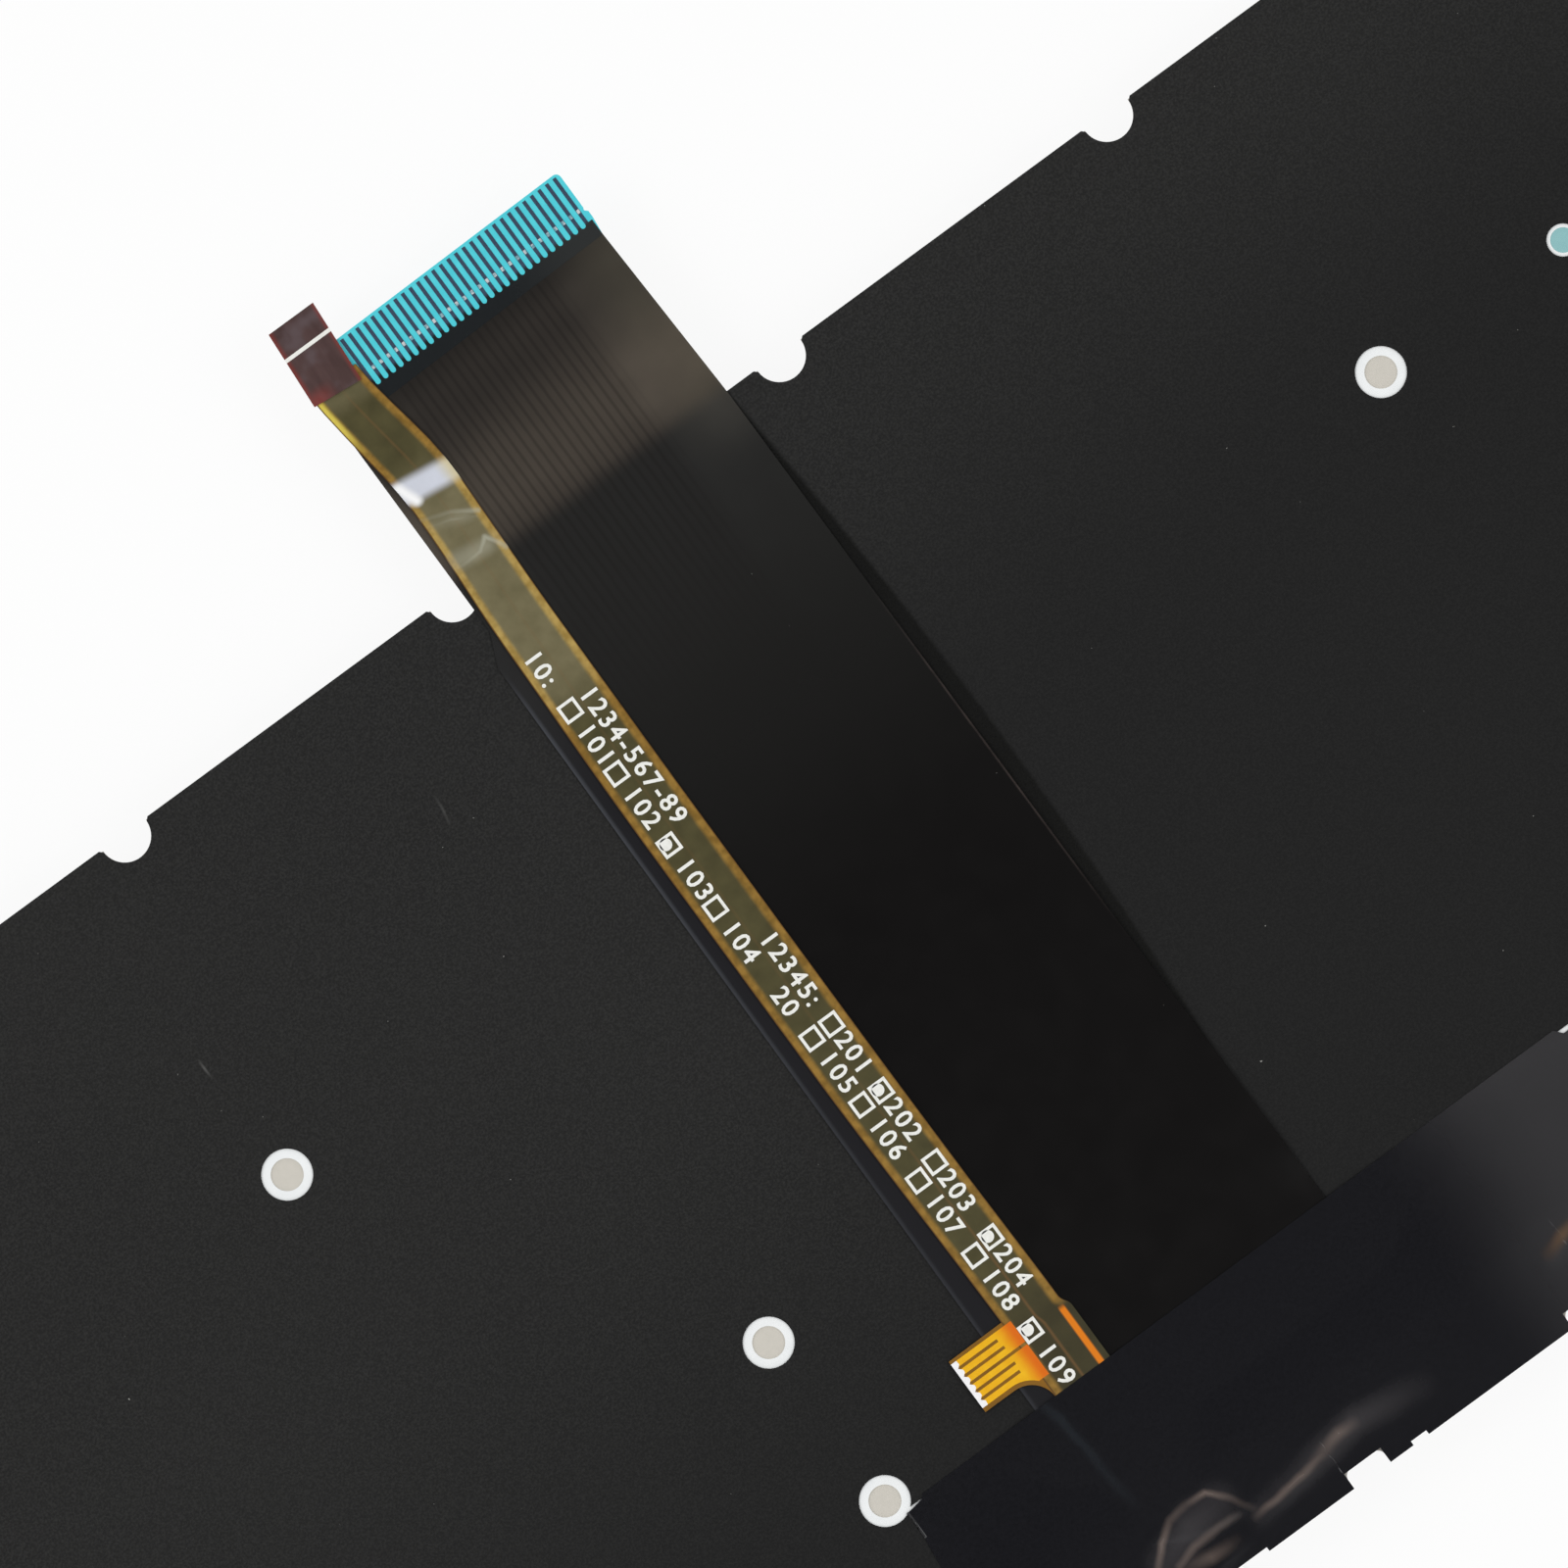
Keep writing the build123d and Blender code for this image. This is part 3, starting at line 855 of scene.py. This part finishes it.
def make_tail():
    thickness = tail_thickness - cover_thickness
    tail = draped_sheet(
        "signal_tail_film", steps(*tail_spans), tail_borders, tail_rows, tail_height, thickness, paint_tail()
    )
    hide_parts("signal_tail")


def arc(centre_x, centre_from_edge, radius, start, end, count):
    """Points of an arc in X and distance from the cable edge, with angles in degrees."""
    points = []
    for index in range(count + 1):
        angle = math.radians(start + (end - start) * index / count)
        points.append((centre_x + radius * math.cos(angle), centre_from_edge + radius * math.sin(angle)))
    return points


def askew(x, from_edge):
    """Place on the contact end, which isn't cut quite square."""
    return x, from_edge - contact_skew * x


def make_contacts():
    """Cyan bed, dark stripes that grow out of the tail's black cover, and worn marks on them."""
    corner_x = comb_right - bed_corner
    near = stripe_start - bed_margin
    bed = [(comb_left, comb_end), (comb_left, near)]
    bed += arc(corner_x, near + bed_corner, bed_corner, -90.0, 0.0, 6)
    bed += [(comb_right, ear_notch_near)]
    bed += arc(*ear_notch, ear_notch_radius, 200.0, 110.0, 4)
    bed += [(ear_right, end) for end in ear_ends] + [(comb_right, comb_end)]
    bed = [askew(*place) for place in bed]
    cover_low = tail_top - cover_thickness
    cyan = plate("contact_bed", bed, tail_low, cover_low, plain_paint("stiffener_cyan"))
    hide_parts("contact_stiffener")
    comb = [(comb_right, stripe_root), (comb_right, comb_end), (comb_left, comb_end)]
    gap_radius = (stripe_pitch - stripe_width) / 2
    for index in range(stripe_count):
        x = first_stripe + index * stripe_pitch
        left = x - stripe_width / 2
        comb += [(left, stripe_root), (left, stripe_start), (left + stripe_width, stripe_start)]
        if index < stripe_count - 1:
            comb += arc(x + stripe_pitch / 2, stripe_root, gap_radius, 180.0, 0.0, 6)
        else:
            comb.append((left + stripe_width, stripe_root))
    comb = [askew(*place) for place in comb]
    dark = plate("contact_stripes", comb, cover_low, tail_top, paint_comb())
    work = bmesh.new()
    for index in range(1, stripe_count):
        x = first_stripe + index * stripe_pitch
        _, middle = askew(x, mark_from_edge)
        left, right = x - mark_half_width, x + mark_half_width
        add_bar(work, left, right, middle - mark_near, middle + mark_far, tail_top, print_thickness)
    built("contact_marks", work, [paint_pale_mark()])


def add_bar(work, left, right, near, far, low, thickness):
    """Adds a flat bar between two X values and two distances from the cable edge."""
    corners = [(left, near), (right, near), (right, far), (left, far)]
    places = [point(x, v, z) for z in (low, low + thickness) for x, v in corners]
    add_faces(work, places, ring_faces(2, 4))


# Backlight circuit

def circuit_borders(from_edge):
    """Borders of the strip, rounded where its direction changes, and bowed to the left in its middle."""
    reach = neck_rounding if from_edge < foot_start else foot_rounding
    samples = [from_edge - reach, from_edge, from_edge + reach]
    left = sum(along(circuit_left_line, value) for value in samples) / 3
    right = sum(along(circuit_right_line, value) for value in samples) / 3
    bow = smooth(from_edge, *circuit_bow_rise) * smooth(from_edge, *circuit_bow_fall)
    return left - circuit_bow_left * bow, right - circuit_bow_right * bow


def circuit_height(x, from_edge):
    """The strip climbs over the bend, sinks again to its tip, and has soft creases at the cable edge."""
    rise = bend_rise * smooth(from_edge, bend_end, bend_start) ** 0.5 * smooth(from_edge, *tip_rise)
    from_slant = from_edge - slant_middle[1] - slant_slope * (x - slant_middle[0])
    from_wave = from_edge - wave_from_edge + wave_sway * math.sin(x * wave_rate)
    crease = slant_height * math.exp(-(from_slant / slant_width) ** 2)
    crease += wave_height * math.exp(-(from_wave / wave_width) ** 2)
    return circuit_top + rise + crease


def make_circuit():
    stations = steps(*circuit_spans)
    strip = draped_sheet(
        "backlight_strip", stations, circuit_borders, circuit_rows, circuit_height, circuit_thickness,
        paint_circuit(),
    )
    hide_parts("backlight_circuit")
    outline = [(branch_root, branch_near - branch_slant)]
    outline += [(branch_left, branch_near), (branch_left, branch_far)]
    outline += arc(*branch_corner, branch_fillet, -90.0, 0.0, 10)
    low = circuit_top - circuit_thickness
    branch = plate("backlight_branch", outline, low, circuit_top, plain_paint("branch_amber"))
    make_fingers()


def make_fingers():
    """Six gold fingers in two groups, with tinned ends."""
    gold = paint_gold()
    finger_left = branch_left + finger_inset
    root, near, pitch, slit = finger_root, finger_near, finger_pitch, finger_slit
    for group in range(2):
        start = near + group * 3 * pitch
        end = start + 3 * pitch - slit
        outline = [(root, start), (finger_left, start)]
        for index in (1, 2):
            centre = start + index * pitch - slit / 2
            stop = slit_ends[group * 3 + index - 1]
            outline += [(finger_left, centre - slit / 2), (stop, centre - slit / 2)]
            outline += [(stop, centre + slit / 2), (finger_left, centre + slit / 2)]
        outline.append((finger_left, end))
        if group == 1:
            bend = arc(*branch_corner, branch_corner[1] - end, -90.0, finger_bend_end, 6)
            outline += bend + [(root, bend[-1][1])]
        else:
            outline.append((root, end))
        pad = plate(f"gold_fingers_{group + 1}", outline, circuit_top, circuit_top + gold_thickness, gold)
    end = near + 6 * pitch - slit
    tin_right = branch_left + tin_length
    outline = [(tin_right, end), (branch_left, end), (branch_left, near), (tin_right, near)]
    for index in range(1, 6):
        centre = near + index * pitch - slit / 2
        for inset, offset in tin_notch:
            outline.append((branch_left + inset, centre + offset))
    high = circuit_top + 2 * print_thickness
    tin = plate("tinned_ends", outline, circuit_top, high, plain_paint("solder_white"))


def make_tip():
    """Tilted stiffener on the circuit's tip, with a white line across it."""
    def tip_place(share, from_edge):
        return tip_left + share * tip_width - tip_lean * (from_edge - tip_far), from_edge

    corners = [(0.0, tip_near_left), (1.0, tip_near_right), (1.0, tip_far), (0.0, tip_far)]
    outline = [tip_place(*corner) for corner in corners]
    low = circuit_top - circuit_thickness
    line_low = stiffener_top - print_thickness
    tip = plate("backlight_tip", outline, low, line_low, paint_tip())
    places = [(share, (tip_near_left - from_edge) * MM) for share, from_edge in corners]
    strip_map(tip.data, places + places)
    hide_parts("backlight_stiffener")
    line = [
        tip_place(share, tip_line + side * tip_line_width / 2)
        for share, side in [(0.0, -1), (1.0, -1), (1.0, 1), (0.0, 1)]
    ]
    mark = plate("tip_line", line, line_low, stiffener_top, plain_paint("print_white"))


# White print on the circuit: tick boxes and plain numbers

def add_text(work, words, size, placing, thickness, bolder=0.0, spacing=1.0):
    """Adds flat words of this height in millimetres, placed by a matrix in millimetres."""
    curve = bpy.data.curves.new("words", "FONT")
    curve.body = words
    curve.size = size
    curve.align_x = "CENTER"
    curve.align_y = "CENTER"
    curve.extrude = thickness / 2
    curve.offset = bolder
    curve.space_character = spacing
    curve.resolution_u = 3
    holder = bpy.data.objects.new("words", curve)
    mesh = bpy.data.meshes.new_from_object(holder)
    mesh.transform(Matrix.Scale(MM, 4) @ placing)
    before = len(work.faces)
    work.from_mesh(mesh)
    work.faces.ensure_lookup_table()
    bpy.data.objects.remove(holder)
    bpy.data.meshes.remove(mesh)
    return work.faces[before:]


def make_print():
    """Two columns of tick boxes with plain numbers. The columns run slightly askew past the middle."""
    box = 1.75
    stroke = 0.27
    text_size = 2.25
    text_spacing = 1.2
    text_bolder = 0.04
    left_column = -14.82
    right_column = -12.78
    print_z = circuit_top + gold_thickness
    left_boxes = [13.95, 20.55, 28.05, 34.65, 48.35, 55.35, 63.35, 71.25, 79.15]
    right_boxes = [48.35, 55.35, 62.9, 70.8]
    columns = [
        (left_column, left_boxes, [28.05, 79.15], 101, 3.6),
        (right_column, right_boxes, [55.35, 70.8], 201, 3.05),
    ]
    lone_labels = [
        ("10:", left_column, 9.6), ("20", left_column, 44.5),
        ("1234-567-89", right_column, 20.1), ("12345:", right_column, 42.5),
    ]
    drift_start = 40.0
    drift_slope = 0.0097
    blot_radius = 0.55
    blot_offset = 0.2
    work = bmesh.new()

    def drift(from_edge):
        return drift_slope * max(0.0, from_edge - drift_start)

    def add_label(words, column, from_edge):
        turn = Matrix.Rotation(-math.pi / 2, 4, "Z")
        x = column + drift(from_edge)
        place = Matrix.Translation((x, cable_edge_y - from_edge, print_z + print_thickness / 2))
        add_text(work, words, text_size, place @ turn, print_thickness, text_bolder, text_spacing)

    def add_box(column, from_edge, filled):
        x = column + drift(from_edge)
        half = box / 2
        low, high = from_edge - half, from_edge + half
        inner = half - stroke
        for left, right, near, far in [
            (-half, -inner, low, high), (inner, half, low, high),
            (-inner, inner, low, low + stroke), (-inner, inner, high - stroke, high),
        ]:
            add_bar(work, x + left, x + right, near, far, print_z, print_thickness)
        if filled:
            blot = arc(x - blot_offset, from_edge - blot_offset, blot_radius, 0.0, 340.0, 17)
            work.faces.new([work.verts.new(point(*place, print_z + print_thickness)) for place in blot])

    for column, boxes, ticks, first_number, label_offset in columns:
        for index, from_edge in enumerate(boxes):
            add_box(column, from_edge, from_edge in ticks)
            add_label(str(first_number + index), column, from_edge + label_offset)
    for label in lone_labels:
        add_label(*label)
    made = built("white_print", work, [plain_paint("print_white")])


# Cover tape

def tape_borders(x):
    """Near and far border of the tape at X, with the clip notches and nicks cut out of the far one."""
    gap = min(1.0, max(0.0, (corner_gap_end - x) / corner_gap_length))
    near = window_near + corner_gap * gap if gap else tape_near
    near += near_nick_depth * smooth(x, *near_nick_rise) * smooth(x, *near_nick_fall)
    depth = 0.0
    for notch in clip_notch_places:
        if abs(x - notch) < clip_notch_half:
            depth = clip_notch_depth
    for nick, half in nick_places:
        if abs(x - nick) < half:
            depth = nick_depth
    return near, film_depth - depth


def ridge(x, from_edge, start, end, width, height):
    """Height of a soft fold along a straight line, thinning out to its ends."""
    run_x, run_y = end[0] - start[0], end[1] - start[1]
    length = math.hypot(run_x, run_y)
    share = ((x - start[0]) * run_x + (from_edge - start[1]) * run_y) / length ** 2
    if not 0.0 < share < 1.0:
        return 0.0
    side = ((x - start[0]) * run_y - (from_edge - start[1]) * run_x) / length
    return height * math.sin(math.pi * share) ** fold_taper * math.exp(-(side / width) ** 2)


def tape_height(x, from_edge):
    """The tape lies on film, tail, strip and lamps, and has a blister and a few folds near the far edge."""
    over_tail = smooth(x, tail_left - drape_tail_left, tail_left)
    over_tail *= smooth(x, tail_right + drape_tail_right, tail_right)
    over_strip = smooth(x, *drape_strip_left) * smooth(x, *drape_strip_right)
    over_lamps = smooth(from_edge, *drape_lamps)
    over_lamps *= smooth(x, tape_left, lamps_left) * smooth(x, tape_right, lamps_right)
    under = (tail_top - film_top) * over_tail
    under = max(under, (circuit_top - film_top) * max(over_strip, over_lamps))
    level = film_top + tape_clearance + tape_thickness + under
    off_x, off_y = x - blister_middle[0], from_edge - blister_middle[1]
    run_x, run_y = blister_run
    across = (off_x * run_x + off_y * run_y) / blister_half_length
    half_width = blister_half_width * max(blister_least_share, 1.0 - across * across)
    depth = (off_y * run_x - off_x * run_y) / half_width
    folds = blister_height * smooth(abs(across), *blister_end_fade) * smooth(abs(depth), *blister_side_fade)
    folds += sum(ridge(x, from_edge, *fold) for fold in tape_folds)
    across_rate, along_rate, slant_rate = ripple_rates
    ripple = ripple_height * math.sin(x * across_rate + ripple_start)
    ripple *= math.sin(from_edge * along_rate + x * slant_rate)
    return min(stiffener_top - tape_headroom, level + folds + ripple)


def make_tape():
    cuts = [(x, clip_notch_half) for x in clip_notch_places] + nick_places
    breaks = [
        centre + side * half + step
        for centre, half in cuts for side in (-1, 1) for step in (-cut_step, cut_step)
    ]
    stations = sorted(steps((tape_left, tape_right, tape_step)) + breaks)
    tape = draped_sheet(
        "cover_tape_film", stations, tape_borders, tape_rows, tape_height, tape_thickness, paint_tape(),
        lengthwise=False,
    )
    shift = (window_left + side_gap - tape_left) * MM
    for vertex in tape.data.vertices:
        if vertex.co.x < (tape_left + tape_border) * MM:
            from_edge = cable_edge_y - vertex.co.y / MM
            vertex.co.x += shift * smooth(from_edge, side_gap_end, window_near)
    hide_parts("cover_tape")


# Small hole

def make_teal_pad():
    outline = arc(small_hole_x, small_hole_from_edge, small_hole_radius, 0.0, 345.0, 23)
    low = low_of("reflector_film").z
    pad = plate("teal_pad", outline, low, low + teal_thickness, plain_paint("pad_teal"))


# Keys and their mechanisms, on the side that faces down

def separate_boxes(node):
    """Lowest and highest corner, in millimetres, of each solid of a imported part, row by row."""
    holder = frame["nodes"][node]
    work = bmesh.new()
    work.from_mesh(holder.data)
    work.transform(holder.matrix_world)
    bmesh.ops.remove_doubles(work, verts=work.verts, dist=MM / 1000)
    boxes = []
    waiting = set(work.verts)
    while waiting:
        group = [waiting.pop()]
        for vertex in group:
            for edge in vertex.link_edges:
                other = edge.other_vert(vertex)
                if other in waiting:
                    waiting.remove(other)
                    group.append(other)
        low = Vector([min(vertex.co[axis] for vertex in group) for axis in range(3)]) / MM
        high = Vector([max(vertex.co[axis] for vertex in group) for axis in range(3)]) / MM
        boxes.append((low, high))
    work.free()
    return sorted(boxes, key=lambda box: (round(box[0].y), box[0].x))


def add_rings(work, rings):
    """Adds a closed body of rings of as many points, in millimetres."""
    places = [Vector(place) * MM for ring in rings for place in ring]
    return add_faces(work, places, ring_faces(len(rings), len(rings[0])))


def rounded_ring(middle, half_x, half_y, radius, z):
    """Rectangle with round corners at height z, in millimetres."""
    ring = []
    for quarter, (side_x, side_y) in enumerate([(1, 1), (-1, 1), (-1, -1), (1, -1)]):
        for index in range(corner_steps + 1):
            angle = math.radians(90.0 * (quarter + index / corner_steps))
            x = middle.x + side_x * (half_x - radius) + radius * math.cos(angle)
            y = middle.y + side_y * (half_y - radius) + radius * math.sin(angle)
            ring.append((x, y, z))
    return ring


def add_cap(work, low, high):
    """Hollow cap with a sloped skirt, a soft rim and a dished top."""
    middle = (low + high) / 2
    half = (high - low) / 2
    inset_limit = cap_inset_share * min(half.x, half.y)
    profile = [(cap_wall, cap_ceiling), (cap_wall, high.z)]
    profile += [(inset, share * high.z) for inset, share in cap_skirt]
    profile += [(inset, share * cap_dish) for inset, share in cap_dish_line]
    rings = []
    for inset, z in profile:
        inset = min(inset, inset_limit)
        radius = max(cap_corner_least, cap_corner - cap_corner_slope * inset)
        rings.append(rounded_ring(middle, half.x - inset, half.y - inset, radius, z))
    add_rings(work, rings)


def make_caps(name, caps, body, materials):
    """Caps that ride on one body, each with a white legend that reads from below."""
    work = bmesh.new()
    for low, high, words in caps:
        add_cap(work, low, high)
        if words:
            middle = (low + high) / 2
            size = legend_size if len(words) == 1 else word_size
            size = min(size, legend_share * (high.y - low.y))
            place = Matrix.Translation((middle.x, middle.y, legend_level + legend_thickness / 2))
            turn = Matrix.Rotation(math.pi, 4, "X")
            for face in add_text(work, words, size, place @ turn, legend_thickness):
                face.material_index = 1
    made = built(name, work, materials, body, True)
    return made


def add_dome(work, middle, share):
    """Rubber dome: flange, cone and neck that carries the cap."""
    turns = [2.0 * math.pi * index / dome_sides for index in range(dome_sides)]
    rings = []
    for radius, height in dome_profile:
        z = membrane_low - support_rise * height
        places = [(radius * share * math.cos(turn), radius * share * math.sin(turn)) for turn in turns]
        rings.append([(middle.x + x, middle.y + y, z) for x, y in places])
    add_rings(work, rings)


def add_beam(work, middle, turn, centre, size):
    """Straight beam with rounded edges, turned about X through the middle of its key."""
    half = Vector(size) / 2
    radius = link_rounding * min(half.x, half.z)
    rings = []
    for end in (-1, 1):
        ring = rounded_ring(Vector((0.0, 0.0, 0.0)), half.x, half.z, radius, 0.0)
        places = [Vector((x + centre[0], end * half.y + centre[1], z + centre[2])) for x, z, _ in ring]
        rings.append([tuple(turn @ place + middle) for place in places])
    for face in add_rings(work, rings):
        face.material_index = 1


def add_links(work, low, high, middle):
    """Two frames that cross like scissors and carry the cap level."""
    length = min(link_length, high.y - low.y - 2 * cap_wall - support_clearance)
    half_width = min(link_half_width, (high.x - low.x) / 2 - cap_wall - link_side_clearance)
    lean = math.asin((support_rise - 2 * link_thickness) / length)
    for side, width in [(1, half_width), (-1, half_width - link_nesting * link_bar)]:
        turn = Matrix.Rotation(side * lean, 3, "X")
        for end in (-1, 1):
            add_beam(work, middle, turn, (end * width, 0.0, 0.0), (link_bar, length, link_thickness))
        cross = side * (length / 2 - link_bar / 2)
        add_beam(work, middle, turn, (0.0, cross, 0.0), (2 * width - link_bar, link_bar, link_thickness))


def make_support(name, caps, materials):
    """Dome and scissor links under each of these caps."""
    work = bmesh.new()
    for low, high in caps:
        middle = (low + high) / 2
        middle.z = (membrane_low + cap_ceiling) / 2
        room = min(high.x - low.x, high.y - low.y) - 2 * cap_wall - support_clearance
        add_dome(work, middle, min(1.0, room / dome_room))
        add_links(work, low, high, middle)
    made = built(name, work, materials, ROOT, True)
    return made


def legend_of(key):
    """White words on a moving key."""
    words = {
        "tab": "tab", "open_bracket": "[", "close_bracket": "]", "backslash": "\\", "caps_lock": "caps",
        "semicolon": ";", "quote": "'", "enter": "enter", "left_shift": "shift", "comma": ",", "period": ".",
        "slash": "/", "right_shift": "shift", "space": "", "left": "<", "right": ">", "up": "^", "down": "v",
    }
    return words.get(key, key.upper())


def make_keys():
    cap_materials = [paint_cap(), plain_paint("legend_white")]
    support_materials = [paint_dome(), plain_paint("link_plastic")]
    for joint in frame["joints"]:
        node = joint["name"].removesuffix("_press")
        low, high = low_of(node), high_of(node)
        words = legend_of(node.removeprefix("key_"))
        cap = make_caps(f"{node}_cap", [(low, high, words)], node, cap_materials)
        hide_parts(node)
        support = make_support(f"{node}_support", [(low, high)], support_materials)
        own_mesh(support)
    rows = {
        "function_keys": ["esc"] + [f"F{index}" for index in range(1, 13)] + ["del"],
        "number_keys": list("`1234567890-=") + ["back"],
        "modifier_keys": ["ctrl", "fn", "", "alt", "alt", "ctrl"],
    }
    fixed = []
    for node, words in rows.items():
        boxes = separate_boxes(node)
        caps = [(low, high, word) for (low, high), word in zip(boxes, words)]
        cap = make_caps(f"{node}_caps", caps, ROOT, cap_materials)
        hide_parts(node)
        fixed += boxes
    support = make_support("fixed_key_supports", fixed, support_materials)
    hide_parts("rubber_domes", "scissor_links")


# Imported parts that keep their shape

def dress_parts():
    looks = {
        "back_film": paint_film(),
        "base_plate": paint_metal(),
        "light_guide": plain_paint("guide_milky"),
        "reflector_film": plain_paint("reflector_white"),
        "membrane": paint_membrane(),
        "backlight_lamps": paint_lamp(),
    }
    for node, material in looks.items():
        materials = frame["nodes"][node].data.materials
        materials.clear()
        materials.append(material)


# Floor, light and camera

def make_stage():
    mesh = bpy.data.meshes.new("floor")
    sides = [(-1, -1), (1, -1), (1, 1), (-1, 1)]
    mesh.from_pydata([(x * floor_half, y * floor_half, 0.0) for x, y in sides], [], [(0, 1, 2, 3)])
    floor = linked("floor", mesh)
    floor.location.z = -floor_drop
    mesh.materials.append(paint_floor())


def paint_floor():
    """White floor that keeps the object's shadow and stays white behind it."""
    paint = Paint("floor_white")
    paint.tone = floor_tone
    material = paint.finish(floor_roughness)
    path = paint.node("LightPath").outputs
    direct = paint.math("MAXIMUM", path["Is Camera Ray"], path["Is Glossy Ray"])
    clear = paint.math("MAXIMUM", direct, path["Is Transmission Ray"])
    glow = paint.node("Emission").outputs[0]
    mix = paint.node("MixShader", clear * floor_glow_share, paint.shader.outputs[0], glow)
    paint.set(paint.tree.nodes["Material Output"].inputs[0], mix.outputs[0])
    return material


def make_world():
    """Soft room: pale towards the horizon, darker straight above, where the camera stands."""
    world = bpy.data.worlds.new("room")
    bpy.context.scene.world = world
    world.use_nodes = True
    nodes = world.node_tree.nodes
    links = world.node_tree.links
    direction = nodes.new("ShaderNodeTexCoord")
    split = nodes.new("ShaderNodeSeparateXYZ")
    ramp = nodes.new("ShaderNodeValToRGB")
    bands = ramp.color_ramp.elements
    bands[1].position = sky_bands[-1][0]
    for height, _ in sky_bands[1:-1]:
        bands.new(height)
    for band, (_, level) in zip(bands, sky_bands):
        band.color = (level, level, level, 1.0)
    links.new(direction.outputs["Generated"], split.inputs[0])
    links.new(split.outputs["Z"], ramp.inputs[0])
    links.new(ramp.outputs[0], nodes["Background"].inputs[0])


def make_light(name, place, width, depth, power):
    """Area light that looks at the middle of the picture."""
    light = bpy.data.lights.new(name, "AREA")
    light.shape = "RECTANGLE"
    light.size = width
    light.size_y = depth
    light.energy = power
    lamp = linked(name, light)
    lamp.location = Vector(place)
    target = Vector((photo_centre_x * MM, photo_centre_y * MM, film_top * MM))
    lamp.rotation_euler = (target - lamp.location).to_track_quat("-Z", "Y").to_euler()


def make_camera():
    camera = bpy.data.cameras.new("photo_camera")
    camera.sensor_width = sensor_width
    camera.lens = sensor_width * camera_height / photo_width
    holder = linked("photo_camera", camera)
    holder.location = Vector((photo_centre_x, photo_centre_y, film_top + camera_height)) * MM
    holder.rotation_euler = (0.0, 0.0, photo_turn)
    bpy.context.scene.camera = holder
    bpy.context.scene.view_settings.view_transform = "Standard"


dress_parts()
make_tail()
make_contacts()
make_circuit()
make_tip()
make_print()
make_tape()
make_teal_pad()
make_keys()
make_stage()
make_world()
for area_light in area_lights:
    make_light(*area_light)
make_camera()
